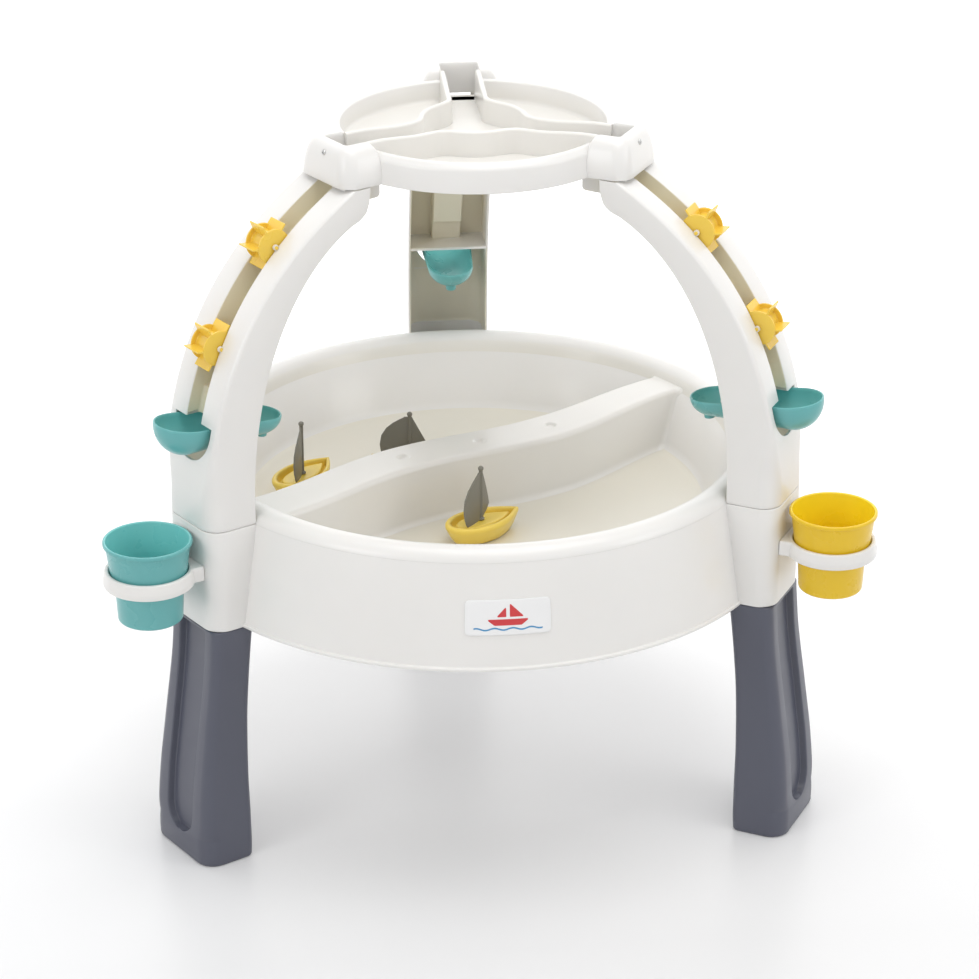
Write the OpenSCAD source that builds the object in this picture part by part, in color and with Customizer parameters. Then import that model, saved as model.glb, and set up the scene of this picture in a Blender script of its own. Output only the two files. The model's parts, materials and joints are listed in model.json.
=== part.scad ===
// Sand and water table: a round two-basin tub on three legs, with three arches
// that carry a pouring tray, six water wheels and three tipping-in bowls.
// The three arms stand 120 degrees apart. In the modules of an arm, x runs
// outwards along the arm, y across it and z up, before arm() turns it in place.

/* [Tub] */
// Radius of the tub wall at its bottom edge
tub_foot_r = 357; // [352:1:360]
// Radius of the tub wall under the rolled rim
tub_top_r = 338; // [336:1:340]
// Height of the tub's bottom edge above the ground
tub_base_z = 290; // [286:1:294]
// Height of the floor of the basins
floor_z = 338; // [330:1:345]
// Thickness of the moulded walls
wall = 3.5; // [3:0.1:4]
// Half width of the divider between the two basins
divider_half = 33; // [28:1:36]
// How far the divider swings to each side of its centre line
divider_swing = 12; // [0:1:16]

/* [Columns and legs] */
// Half width of a column
column_half = 50; // [48:1:52]
// How far a column's outer face stands from the centre
column_face = 393; // [390:1:396]
// Radius of a column's outer corners
column_corner = 22; // [18:1:26]
// Half width of a foot
foot_half = 60; // [56:1:62]

/* [Arches] */
// Thickness of an arch's shell
arch_wall = 3; // [2.5:0.1:3.5]
// Half width of the water trough inside
trough_half = 15; // [14:0.5:16]
// Depth of the trough where the water wheels sit
trough_deep = 31.5; // [30:0.5:32]

/* [Water wheels] */
// Reach of the paddles from the axle
paddle_r = 28; // [24:0.5:28]
// Radius of the round cheeks of a wheel
cheek_r = 20; // [17:0.5:22]
// Width of a wheel
wheel_w = 28; // [24:0.5:28.5]
// Number of paddles on a wheel
paddles = 6; // [4:1:8]
// Radius of an axle
axle_r = 2; // [1.6:0.1:2.4]

/* [Tray] */
// Radius of the tray at its bottom edge
tray_r = 168; // [164:1:170]
// Height of the tray's bottom edge
tray_z = 774; // [773.5:0.5:775]
// Height of the tray's rim
tray_top = 806; // [804:1:811]
// Radius of the middle cup of the tray
tray_cup_r = 57; // [50:1:60]

/* [Cups and boats] */
// Radius of a cup's rim
cup_r = 50; // [48:0.5:51]
// Height of a cup
cup_h = 97; // [92:1:100]
// Length of a boat
boat_l = 100; // [84:1:104]
// Width of a boat
boat_w = 54; // [44:1:56]

/* [Hidden] */

$fn = 72;

// Directions of the three arms
left_turn = 210;
right_turn = 330;
rear_turn = 90;
arms = [left_turn, right_turn, rear_turn];

// Gap between moulded pieces that push together
fit = 0.4;

// Tub: the rolled rim is an arc from the basin's edge to the outer wall
basin_top_r = 303;
basin_foot_r = 280;
rim_z = 412;
rim_mid_r = (basin_top_r + tub_top_r) / 2;
rim_half = (tub_top_r - basin_top_r) / 2;
rim_rise = 13;
rim_r = (rim_half * rim_half + rim_rise * rim_rise) / (2 * rim_rise);
rim_cz = rim_z + rim_rise - rim_r;
rim_angle = asin(rim_half / rim_r);
basin_fillet = 14;
lip_h = 4;
lip_out = 2.5;

// Divider across the tub, along a line turned this far from +x
divider_turn = 30;
divider_top_z = 410;
divider_wave = 390;
divider_narrow = 8;
dimple_r = 7;
dimple_depth = 2;
dimple_places = [-93, 7, 103];

// Columns are tubes between these distances from the centre
column_inner = 334;
column_top_z = rim_z;
slot_half = 29;
slot_z0 = 341;
slot_z1 = 371;

// Legs: stations of height, inner face, outer face and half width
station_h = 1;
leg_stations = [
    [tub_base_z - fit - station_h, 339, column_face - 1.5, column_half - 1.5],
    [200, 350, 400.5, 51.5],
    [110, 355, 413.5, 55],
    [14, 357, 421, foot_half]
];
foot_inset = 7;
leg_wall = 4;
leg_recess = 8;
leg_recess_half = 27;
leg_recess_z0 = 30;
leg_floor_rise = 4;
tenon_h = 56;
leg_screw_z = 322;
leg_screw_y = 22;

// Arch: outer and inner outlines as cubic curves of [x, z] control points
outer_curve = [[222, 757], [356, 668], [393, 542], [393, rim_z + 0.4]];
inner_curve = [[198, 734], [275, 693], [334, 587], [334, 430]];
arch_head = [[187, 738.5], [179.5, 746], [175.5, 756], [174, tray_z - fit]];
arch_t0 = -0.06;
trough_wall = 3;
trough_floor = 2.5;
trough_shallow = 20;
trough_step_t = 0.6;
outlet_z = 533;
outlet_t = 0.684;
arch_steps = 26;
lug_half = 18;
hanger_x0 = 196;
hanger_t = 6;
hanger_half = 37;
hanger_top = tray_z + 38;
hanger_bar_z = tray_z + 26;
bowl_gate_half = 37;
bowl_gate_z0 = 525;
arch_screw_z = 399;
arch_screw_y = 20;

// Places of the wheels along the outer curve, and how far they stand proud
wheel_upper_t = 0.15;
wheel_lower_t = 0.46;
wheel_upper_proud = 2.5;
wheel_lower_proud = 1;
drum_r = 14;
cheek_t = 2;
paddle_t = 2.2;
axle_l = 2 * (trough_half + trough_wall) + 3;
bearing_r = axle_r + 2.6;
wheel_play = 0.08;

// Bowl: a scoop that leans inwards, with a large outer and a small inner end
bowl_x = 350;
bowl_z = 526;
bowl_lean = 6.9;
bowl_out_x = 43.5;
bowl_out_r = 33.5;
bowl_out_d = 35;
bowl_in_x = -52;
bowl_in_r = 28;
bowl_in_d = 23;
bowl_wall = 2.4;
bowl_spout_x = -60;
bowl_spout_r = 6.5;
bowl_spout_hole = 3;
tab_x0 = 13;
tab_x1 = 25;
tab_z = 7;
tab_t = 4;
tab_half = column_half - arch_wall - fit;

// Tray
tray_wall = 3;
tray_floor_z = tray_z + 8;
block_x0 = 158;
block_x1 = 207;
block_top = 817;
block_half = 50;
block_corner = 20;
channel_half = 19;
channel_wall_z = 811;
chute_half = 22.5;
chute_x1 = 194.5;
tray_screw_z = tray_z + 32;

// Cup rings and cups
ring_x = 445;
ring_z0 = 352;
ring_h = 18;
ring_out_r = 51.2;
ring_top_r = 48;
ring_in_r = 44;
ring_ledge_r = 39.6;
ring_ledge_h = 3.5;
cup_base_z = 308;
cup_wall = 2.2;

// Boats: [x, y, heading of the hull, heading of the sail]
boat_front = [0, -110, 30, 60];
boat_middle = [-75, 58, 147, -3];
boat_left = [-199, 43, 50, 80];
boat_h = 25;
boat_base_z = floor_z + 0.3;
boat_mast_x = -4;
mast_r = 2.6;
mast_h = 64;
sail_t = 1.6;
sail_bend_r = 130;
// Outline of the sail beside the mast, as [sideways, up]
sail_outline = [
    [0, 62], [29, 9], [-29, 1], [-31.5, 5], [-34.5, 14], [-36, 24],
    [-34, 36], [-28, 46], [-20, 53], [-10, 59]
];

// Label on the front wall of the tub, centred under the front rim
label_sweep = 15.6;
label_middle = 270.4;
label_z0 = 331;
label_z1 = 371;
label_t = 0.9;
label_corner = 5;

// Screws
screw_r = 1.95;
screw_hole = 2;
screw_head_r = 3.6;
screw_head_h = 2;
screw_l = 14;
tray_screw_l = 10;

// Everything is moved forwards by this much, so the frame stands mid-box
middle_y = (bowl_x + bowl_out_x * cos(bowl_lean)
    + norm([bowl_out_r * cos(bowl_lean), bowl_out_d * sin(bowl_lean)])
    - tub_foot_r - lip_out) / 2;

// ---------------------------------------------------------------- helpers

// Points of an arc in a plane, from angle a0 to a1
function arc(cx, cy, r, a0, a1, n = 8) =
    [for (i = [0:n]) [cx + r * cos(a0 + (a1 - a0) * i / n), cy + r * sin(a0 + (a1 - a0) * i / n)]];

// Point and direction of a cubic curve at t
function curve(p, t) =
    pow(1 - t, 3) * p[0] + 3 * pow(1 - t, 2) * t * p[1] + 3 * (1 - t) * t * t * p[2] + pow(t, 3) * p[3];
function along(p, t) =
    3 * pow(1 - t, 2) * (p[1] - p[0]) + 6 * (1 - t) * t * (p[2] - p[1]) + 3 * t * t * (p[3] - p[2]);

// Point of a curve moved sideways by d, to its outer side
function beside(p, t, d) = let (v = along(p, t), n = [-v[1], v[0]] / norm(v)) curve(p, t) + d * n;

// Points beside a curve between two places on it
function run(p, t0, t1, d, n = arch_steps) = [for (i = [0:n]) beside(p, t0 + (t1 - t0) * i / n, d)];
function backwards(list) = [for (i = [len(list) - 1:-1:0]) list[i]];

// Radius of the tub's outer wall at height z
function tub_r(z) = tub_foot_r - (tub_foot_r - tub_top_r) * (z - tub_base_z) / (rim_z - tub_base_z);

// Moves the whole object so that its box is centred over the origin
module placed() {
    translate([0, -middle_y, 0])
        children();
}

// Turns a piece of an arm to its place
module arm(turn) {
    rotate([0, 0, turn])
        children();
}

// Extrudes an [x, z] outline across an arm, between two values of y
module across(y0, y1, points) {
    translate([0, y1, 0])
        rotate([90, 0, 0])
            linear_extrude(y1 - y0)
                polygon(points);
}

// Both sides of an arm
module both_sides() {
    children();
    mirror([0, 1, 0])
        children();
}

// Outline of a column, moved inwards by inset, from the distance x0
module column_outline(inset, x0 = column_inner) {
    half = column_half - inset;
    corner = column_corner - inset;
    face = column_face - inset;
    union() {
        translate([x0, -half])
            square([face - corner - x0, 2 * half]);
        translate([x0, -(half - corner)])
            square([face - x0, 2 * (half - corner)]);
        for (side = [-1, 1])
            translate([face - corner, side * (half - corner)])
                circle(r = corner);
    }
}

// A ring of the column's outline between two insets
module column_tube(z0, z1, outer, inner, x0) {
    translate([0, 0, z0])
        linear_extrude(z1 - z0)
            difference() {
                column_outline(outer, x0);
                column_outline(inner, x0 + wall);
            }
}

// A screw that points along +x, with its head at x = 0
module screw(length) {
    rotate([0, 90, 0]) {
        translate([0, 0, -screw_head_h])
            cylinder(r = screw_head_r, h = screw_head_h, $fn = 32);
        cylinder(r = screw_r, h = length - 3, $fn = 32);
        translate([0, 0, length - 3])
            cylinder(r1 = screw_r, r2 = 0.5, h = 3, $fn = 32);
    }
}

module screw_bore(length) {
    rotate([0, 90, 0])
        translate([0, 0, -length / 2])
            cylinder(r = screw_hole, h = length, $fn = 32);
}

// ---------------------------------------------------------------- tub

// Section of the tub's shell: the upper skin, then the lower skin back
function tub_skin(inset) = concat(
    [[0, floor_z - inset]],
    arc(basin_foot_r - basin_fillet, floor_z + basin_fillet, basin_fillet + inset, -90, -8, 6),
    arc(rim_mid_r, rim_cz, rim_r - inset, 90 + rim_angle, 90 - rim_angle, 12)
);

module tub_shell() {
    rotate_extrude($fn = 120)
        polygon(concat(
            tub_skin(0),
            [
                [tub_r(tub_base_z + lip_h), tub_base_z + lip_h],
                [tub_foot_r + lip_out, tub_base_z + lip_h],
                [tub_foot_r + lip_out, tub_base_z],
                [tub_foot_r - wall, tub_base_z]
            ],
            backwards(tub_skin(wall))
        ));
}

// The hollow of the basins, moved inwards by inset
module basin_space(inset) {
    rotate_extrude($fn = 120)
        polygon([
            [0, floor_z - 10],
            [basin_foot_r - basin_fillet - inset, floor_z - 10],
            [basin_foot_r + 2 - inset, floor_z + basin_fillet],
            [basin_top_r + 1 - inset, rim_z],
            [0, rim_z]
        ]);
}

function divider_y(x) = -divider_swing * sin(360 * x / divider_wave);
function divider_w(x, inset) = divider_half - inset - divider_narrow * max(0, (x - 100) / 180);

module divider_band(inset, z0, z1) {
    xs = [for (x = [-310:15.5:310]) x];
    rotate([0, 0, divider_turn])
        translate([0, 0, z0])
            linear_extrude(z1 - z0)
                polygon(concat(
                    [for (x = xs) [x, divider_y(x) + divider_w(x, inset)]],
                    backwards([for (x = xs) [x, divider_y(x) - divider_w(x, inset)]])
                ));
}

module dimples() {
    rotate([0, 0, divider_turn])
        for (x = dimple_places)
            translate([x, divider_y(x), divider_top_z - dimple_depth])
                cylinder(r1 = dimple_r - 2, r2 = dimple_r, h = dimple_depth + 0.01, $fn = 40);
}

module ring_slot() {
    translate([column_face - 10, -slot_half, slot_z0])
        cube([20, 2 * slot_half, slot_z1 - slot_z0]);
}

module tub() {
    color("whitesmoke")
        difference() {
            union() {
                difference() {
                    tub_shell();
                    for (turn = arms)
                        arm(turn)
                            translate([0, 0, tub_base_z - 1])
                                linear_extrude(rim_z - tub_base_z - 6)
                                    column_outline(wall / 2);
                }
                for (turn = arms)
                    arm(turn)
                        column_tube(tub_base_z, column_top_z, 0, wall, column_inner);
                intersection() {
                    divider_band(0, floor_z - 1, divider_top_z);
                    basin_space(0);
                }
            }
            intersection() {
                divider_band(wall, floor_z - 20, divider_top_z - wall);
                basin_space(wall + 6);
            }
            dimples();
            for (turn = arms)
                arm(turn) {
                    translate([0, 0, tub_base_z - 1])
                        linear_extrude(rim_z - tub_base_z + 2)
                            column_outline(wall, column_inner + wall);
                    for (side = [-1, 1]) {
                        translate([column_inner, side * leg_screw_y, leg_screw_z])
                            screw_bore(20);
                        translate([column_inner, side * arch_screw_y, arch_screw_z])
                            screw_bore(20);
                    }
                }
            for (turn = [left_turn, right_turn])
                arm(turn)
                    ring_slot();
        }
}

// ---------------------------------------------------------------- legs

// Outline of a leg between an inner and an outer face
module leg_outline(x0, x1, half, corner) {
    inner_corner = 8;
    for (side = [-1, 1]) {
        translate([x1 - corner, side * (half - corner)])
            circle(r = corner, $fn = 32);
        translate([x0 + inner_corner, side * (half - inner_corner)])
            circle(r = inner_corner, $fn = 32);
    }
}

// One stretch of a leg between two stations, moved inwards all round
module leg_stretch(low, high, inset, face_inset) {
    hull()
        for (s = [low, high])
            translate([0, 0, s[0]])
                linear_extrude(station_h)
                    leg_outline(s[1] + inset, s[2] - face_inset, s[3] - inset, column_corner - inset);
}

// The rounded-in underside of a foot, and a station moved up by dz
function leg_foot() = [0, leg_stations[3][1] + foot_inset, leg_stations[3][2] - foot_inset, foot_half - foot_inset];
function raised(s, dz) = [s[0] + dz, s[1], s[2], s[3]];

module leg() {
    face = [for (s = leg_stations) [s[2] - leg_recess, s[0]]];
    color("slategray")
        difference() {
            union() {
                for (i = [0:2])
                    leg_stretch(leg_stations[i + 1], leg_stations[i], 0, 0);
                leg_stretch(leg_foot(), leg_stations[3], 0, 0);
                translate([0, 0, tub_base_z - 1])
                    linear_extrude(tenon_h)
                        column_outline(wall + fit, column_inner + wall + fit);
            }
            for (i = [0:2])
                leg_stretch(
                    raised(leg_stations[i + 1], i == 2 ? leg_floor_rise : 0), leg_stations[i],
                    leg_wall, leg_recess + leg_wall);
            translate([0, 0, tub_base_z - 2])
                linear_extrude(tenon_h + 2)
                    column_outline(wall + fit + leg_wall, column_inner + 2 * wall + fit);
            across(-leg_recess_half, leg_recess_half, concat(
                [[face[0][0] + 2, tub_base_z - 6], [face[0][0] + 60, tub_base_z - 6]],
                [[face[0][0] + 60, leg_recess_z0], [face[3][0], leg_recess_z0]],
                [face[2], face[1], [face[0][0], tub_base_z - 6]]
            ));
            for (side = [-1, 1])
                translate([column_inner + wall, side * leg_screw_y, leg_screw_z])
                    screw_bore(24);
        }
}

module leg_left() { arm(left_turn) leg(); }
module leg_right() { arm(right_turn) leg(); }
module leg_rear() { arm(rear_turn) leg(); }

// ---------------------------------------------------------------- arches

// Outline of an arch's flank, between its outer and inner curves
function flank() = concat(
    run(outer_curve, arch_t0, 1, 0),
    [[inner_curve[3][0], rim_z + fit]],
    backwards(run(inner_curve, 0, 1, 0)),
    arch_head
);

// A skin that follows the outer curve, between two depths
function skin(t0, t1, d0, d1) = concat(
    run(outer_curve, t0, t1, -d0),
    backwards(run(outer_curve, t0, t1, -d1))
);

function wheel_centre(t) =
    beside(outer_curve, t, t == wheel_upper_t ? wheel_upper_proud : wheel_lower_proud);

module arch_flanks() {
    both_sides()
        across(column_half - arch_wall, column_half, flank());
}

module arch_face() {
    both_sides()
        across(trough_half, column_half, skin(arch_t0, outlet_t, 0, arch_wall));
    across(-column_half, column_half, skin(outlet_t, 1, 0, arch_wall));
}

module arch_trough() {
    both_sides() {
        across(trough_half, trough_half + trough_wall, skin(arch_t0, trough_step_t, 0, trough_deep));
        across(trough_half, trough_half + trough_wall, skin(trough_step_t, outlet_t, 0, trough_shallow));
    }
    across(-trough_half - 1, trough_half + 1,
        skin(arch_t0, trough_step_t, trough_deep - trough_floor, trough_deep));
    across(-trough_half - 1, trough_half + 1,
        skin(trough_step_t, outlet_t, trough_shallow - trough_floor, trough_shallow));
    across(-trough_half - 1, trough_half + 1,
        skin(trough_step_t - 0.008, trough_step_t, trough_shallow - trough_floor, trough_deep));
}

// Shelf over the bowl, with the outlet of the trough through it
module arch_shelf() {
    outlet = curve(outer_curve, outlet_t);
    difference() {
        translate([322, -column_half + 1, outlet_z])
            cube([outlet[0] - arch_wall - 321, 2 * column_half - 2, arch_wall]);
        translate([outlet[0] - trough_shallow, -trough_half, outlet_z - 1])
            cube([trough_shallow, 2 * trough_half, arch_wall + 2]);
    }
}

// Lug under the tray, and the plate with a window that the tray is screwed to
module arch_top() {
    across(-lug_half, lug_half, [[141, 759], [141, 748], [163, 747], [182, 744], [182, tray_z - fit], [150, tray_z - fit]]);
    difference() {
        translate([hanger_x0, -hanger_half, tray_z - 12])
            cube([hanger_t, 2 * hanger_half, hanger_top - tray_z + 12]);
        translate([hanger_x0 - 1, -trough_half, tray_z - 14])
            cube([hanger_t + 2, 2 * trough_half, hanger_bar_z - tray_z + 14]);
    }
}

// Foot flange and the tongue that pushes down into the column
module arch_tongue() {
    column_tube(rim_z + fit, rim_z + fit + arch_wall, 0, wall + 2 * fit + arch_wall, column_inner + 1);
    column_tube(arch_screw_z - 13, rim_z + fit + 1, wall + fit, wall + fit + arch_wall, column_inner + wall + fit);
}

// Ears of the trough that carry the axles, and rests for the bowl's tabs
module arch_seats() {
    for (t = [wheel_upper_t, wheel_lower_t])
        both_sides()
            translate([wheel_centre(t)[0], trough_half + trough_wall, wheel_centre(t)[1]])
                rotate([90, 0, 0])
                    cylinder(r = bearing_r, h = trough_wall);
    both_sides()
        across(tab_half - 6, column_half - arch_wall + 0.1, [
            [bowl_x + tab_x0 - 1, bowl_z - 14],
            [bowl_x + tab_x1, bowl_z - 11],
            [bowl_x + tab_x1, bowl_z + tab_x1 * sin(bowl_lean) - tab_z - fit],
            [bowl_x + tab_x0 - 1, bowl_z + tab_x0 * sin(bowl_lean) - tab_z - fit]
        ]);
}

module arch() {
    color("whitesmoke")
        difference() {
            union() {
                intersection() {
                    union() {
                        arch_flanks();
                        arch_face();
                        arch_trough();
                        arch_seats();
                        arch_shelf();
                    }
                    union() {
                        translate([0, 0, rim_z - 2])
                            linear_extrude(bowl_gate_z0 - bowl_gate_half - rim_z + 2)
                                column_outline(0, 300);
                        translate([100, -column_half, bowl_gate_z0 - bowl_gate_half])
                            cube([320, 2 * column_half, 400]);
                    }
                }
                arch_top();
                arch_tongue();
            }
            // Gate for the bowl through the outer face
            translate([360, 0, bowl_gate_z0])
                rotate([0, 90, 0])
                    cylinder(r = bowl_gate_half, h = 60);
            translate([360, -bowl_gate_half, bowl_gate_z0])
                cube([60, 2 * bowl_gate_half, outlet_z - bowl_gate_z0]);
            // Seat over the rolled rim of the tub
            rotate_extrude($fn = 120)
                polygon(concat(
                    [[basin_top_r - 10, rim_z - 40], [basin_top_r - 10, rim_z]],
                    arc(rim_mid_r, rim_cz, rim_r + fit, 90 + rim_angle, 90 - rim_angle, 12),
                    [[tub_top_r + fit, rim_z - 40]]
                ));
            for (t = [wheel_upper_t, wheel_lower_t])
                translate([wheel_centre(t)[0], 0, wheel_centre(t)[1]])
                    rotate([90, 0, 0])
                        cylinder(r = axle_r + 0.03, h = axle_l + 2, center = true, $fn = 48);
            for (side = [-1, 1])
                translate([column_inner + wall, side * arch_screw_y, arch_screw_z])
                    screw_bore(24);
            translate([hanger_x0, 0, tray_screw_z])
                screw_bore(30);
        }
}

module arch_left() { arm(left_turn) arch(); }
module arch_right() { arm(right_turn) arch(); }
module arch_rear() { arm(rear_turn) arch(); }

// ---------------------------------------------------------------- water wheels

module wheel() {
    color("gold")
        difference() {
            union() {
                cylinder(r = drum_r, h = wheel_w, center = true);
                for (side = [-1, 1])
                    translate([0, 0, side * (wheel_w - cheek_t) / 2])
                        cylinder(r = cheek_r, h = cheek_t, center = true);
                for (i = [0:paddles - 1])
                    rotate([0, 0, i * 360 / paddles])
                        translate([drum_r - 1, -paddle_t / 2, -wheel_w / 2])
                            cube([paddle_r - drum_r + 1, paddle_t, wheel_w]);
            }
            cylinder(r = axle_r + wheel_play, h = wheel_w + 2, center = true, $fn = 48);
        }
}

// Puts a wheel or an axle across the trough at a place on the outer curve
module at_trough(turn, t) {
    arm(turn)
        translate([wheel_centre(t)[0], 0, wheel_centre(t)[1]])
            rotate([90, 0, 0])
                children();
}

module axle() {
    color("silver")
        cylinder(r = axle_r, h = axle_l, center = true, $fn = 48);
}

module wheel_left_upper() { at_trough(left_turn, wheel_upper_t) wheel(); }
module wheel_left_lower() { at_trough(left_turn, wheel_lower_t) wheel(); }
module wheel_right_upper() { at_trough(right_turn, wheel_upper_t) wheel(); }
module wheel_right_lower() { at_trough(right_turn, wheel_lower_t) wheel(); }
module wheel_rear_upper() { at_trough(rear_turn, wheel_upper_t) wheel(); }
module wheel_rear_lower() { at_trough(rear_turn, wheel_lower_t) wheel(); }
module axle_left_upper() { at_trough(left_turn, wheel_upper_t) axle(); }
module axle_left_lower() { at_trough(left_turn, wheel_lower_t) axle(); }
module axle_right_upper() { at_trough(right_turn, wheel_upper_t) axle(); }
module axle_right_lower() { at_trough(right_turn, wheel_lower_t) axle(); }
module axle_rear_upper() { at_trough(rear_turn, wheel_upper_t) axle(); }
module axle_rear_lower() { at_trough(rear_turn, wheel_lower_t) axle(); }

// ---------------------------------------------------------------- bowls

// One end of the scoop: a quarter ellipse turned about its own axis
module bowl_end(x, r, d, above) {
    translate([x, 0, 0])
        rotate_extrude($fn = 32)
            polygon(concat(
                [[0, above], [r, above]],
                [for (a = [0:-10:-80]) [r * cos(a), d * sin(a)]],
                [[0, -d]]
            ));
}

module bowl() {
    color("cadetblue")
        translate([bowl_x, 0, bowl_z])
            rotate([0, -bowl_lean, 0])
                difference() {
                    union() {
                        hull() {
                            bowl_end(bowl_out_x, bowl_out_r, bowl_out_d, 0);
                            bowl_end(bowl_in_x, bowl_in_r, bowl_in_d, 0);
                        }
                        translate([bowl_spout_x, 0, -bowl_in_d - 4])
                            cylinder(r = bowl_spout_r, h = 12);
                        translate([tab_x0, -tab_half, -tab_z])
                            cube([tab_x1 - tab_x0, 2 * tab_half, tab_t]);
                    }
                    hull() {
                        bowl_end(bowl_out_x, bowl_out_r - bowl_wall, bowl_out_d - bowl_wall, 2);
                        bowl_end(bowl_in_x, bowl_in_r - bowl_wall, bowl_in_d - bowl_wall, 2);
                    }
                    translate([bowl_spout_x, 0, -bowl_in_d - 6])
                        cylinder(r = bowl_spout_hole, h = 20);
                }
}

module bowl_left() { arm(left_turn) bowl(); }
module bowl_right() { arm(right_turn) bowl(); }
module bowl_rear() { arm(rear_turn) bowl(); }

// ---------------------------------------------------------------- tray

module block_outline(inset) {
    half = block_half - inset;
    corner = block_corner - inset;
    face = block_x1 - inset;
    x0 = 90;
    union() {
        translate([x0, -half])
            square([face - corner - x0, 2 * half]);
        translate([x0, -(half - corner)])
            square([face - x0, 2 * (half - corner)]);
        for (side = [-1, 1])
            translate([face - corner, side * (half - corner)])
                circle(r = corner);
    }
}

module tray_dish() {
    rotate_extrude($fn = 120)
        polygon([
            [0, tray_floor_z],
            [149, tray_floor_z],
            [150, tray_top - 2],
            [151.5, tray_top],
            [156, tray_top],
            [160.5, tray_top - 2.5],
            [163, tray_top - 8],
            [tray_r, tray_z],
            [tray_r - tray_wall, tray_z],
            [159.5, tray_top - 11],
            [153.5, tray_top - 11],
            [152.5, tray_floor_z - tray_wall],
            [0, tray_floor_z - tray_wall]
        ]);
}

module tray_block() {
    difference() {
        translate([0, 0, tray_z])
            linear_extrude(block_top - tray_z)
                block_outline(0);
        translate([0, 0, tray_z - 1])
            linear_extrude(block_top - tray_wall - tray_z + 1)
                block_outline(tray_wall);
        translate([0, 0, tray_z - 1])
            cylinder(r = block_x0, h = 60, $fn = 120);
    }
    // Wall between the block and the dish
    translate([block_x0 - 2, -block_half + 1, tray_floor_z])
        cube([tray_wall, 2 * block_half - 2, block_top - tray_floor_z]);
    // Cheeks of the chute
    both_sides()
        translate([block_x0 - 2, chute_half - 0.5, tray_floor_z])
            cube([chute_x1 - block_x0 + 2, tray_wall, block_top - tray_floor_z - 1]);
    // Floor of the block beside and under the chute
    translate([block_x0 - 6, -block_half + 2, tray_floor_z - tray_wall])
        cube([19, 2 * block_half - 4, tray_wall]);
}

module tray_channels() {
    difference() {
        union() {
            translate([0, 0, tray_floor_z - 1])
                cylinder(r = tray_cup_r + tray_wall, h = channel_wall_z - tray_floor_z + 1, $fn = 96);
            for (turn = arms)
                arm(turn)
                    translate([0, -channel_half - tray_wall, tray_floor_z - 1])
                        cube([block_x0, 2 * (channel_half + tray_wall), channel_wall_z - tray_floor_z + 1]);
        }
        translate([0, 0, tray_floor_z])
            cylinder(r = tray_cup_r, h = 60, $fn = 96);
        for (turn = arms)
            arm(turn)
                translate([0, -channel_half, tray_floor_z])
                    cube([block_x0 + 1, 2 * channel_half, 60]);
    }
}

module top_tray() {
    color("whitesmoke")
        difference() {
            union() {
                difference() {
                    tray_dish();
                    for (turn = arms)
                        arm(turn)
                            translate([142, -channel_half, tray_floor_z])
                                cube([30, 2 * channel_half, 60]);
                }
                tray_channels();
                for (turn = arms)
                    arm(turn)
                        tray_block();
            }
            // Chutes, open at the top, from the channels to the troughs
            for (turn = arms)
                arm(turn) {
                    translate([block_x0 - 6, -channel_half, tray_floor_z])
                        cube([10, 2 * channel_half, 60]);
                    translate([block_x0 + tray_wall - 2, -chute_half + 0.5, tray_floor_z])
                        cube([chute_x1 - block_x0 - tray_wall + 2, 2 * chute_half - 1, 60]);
                }
            for (turn = arms)
                arm(turn) {
                    translate([block_x1, 0, tray_screw_z])
                        screw_bore(30);
                }
        }
}

// ---------------------------------------------------------------- cup rings and cups

module cup_ring() {
    ledge = ring_z0 + ring_ledge_h;
    color("white")
        union() {
            translate([ring_x, 0, 0])
                rotate_extrude($fn = 96)
                    polygon([
                        [ring_ledge_r, ring_z0],
                        [ring_out_r, ring_z0],
                        [ring_out_r, ring_z0 + 6],
                        [ring_top_r + 1, ring_z0 + ring_h - 1],
                        [ring_top_r, ring_z0 + ring_h],
                        [ring_in_r + 1, ring_z0 + ring_h],
                        [ring_in_r, ring_z0 + ring_h - 1],
                        [ring_in_r, ledge],
                        [ring_ledge_r, ledge]
                    ]);
            difference() {
                union() {
                    // Bracket through the slot, and its hook behind the column's wall
                    translate([column_face - wall - 6, -slot_half + 1, slot_z1 - 14])
                        cube([30, 2 * slot_half - 2, 12.5]);
                    translate([column_face - wall - 6, -slot_half + 1, slot_z0 + 6])
                        cube([5, 2 * slot_half - 2, slot_z1 - slot_z0 - 7.5]);
                    translate([column_face + 0.4, -slot_half - 4, ring_z0])
                        cube([10, 2 * slot_half + 8, ring_h]);
                }
                translate([ring_x, 0, ring_z0 - 20])
                    cylinder(r = ring_in_r + 2, h = 60, $fn = 96);
            }
        }
}

module cup() {
    rim = cup_base_z + cup_h;
    shoulder = ring_z0 + ring_ledge_h + 0.3;
    color("gold")
        rotate_extrude($fn = 96)
            polygon([
                [0, cup_base_z],
                [31, cup_base_z],
                [34.5, cup_base_z + 2],
                [36.3, cup_base_z + 7],
                [38.6, shoulder],
                [43, shoulder],
                [43.4, shoulder + 14],
                [cup_r - 2.6, rim - 5],
                [cup_r, rim - 4],
                [cup_r, rim - 1],
                [cup_r - 1, rim],
                [cup_r - 3.6, rim],
                [43.4 - cup_wall, shoulder + 14],
                [43 - cup_wall, shoulder + cup_wall],
                [38.6 - cup_wall, shoulder + cup_wall - 0.4],
                [36.3 - cup_wall, cup_base_z + 7.6],
                [32, cup_base_z + 3],
                [0, cup_base_z + cup_wall + 0.3]
            ]);
}

module cup_ring_left() { arm(left_turn) cup_ring(); }
module cup_ring_right() { arm(right_turn) cup_ring(); }
module cup_left() { arm(left_turn) translate([ring_x, 0, 0]) cup(); }
module cup_right() { arm(right_turn) translate([ring_x, 0, 0]) cup(); }

// ---------------------------------------------------------------- boats

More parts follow.
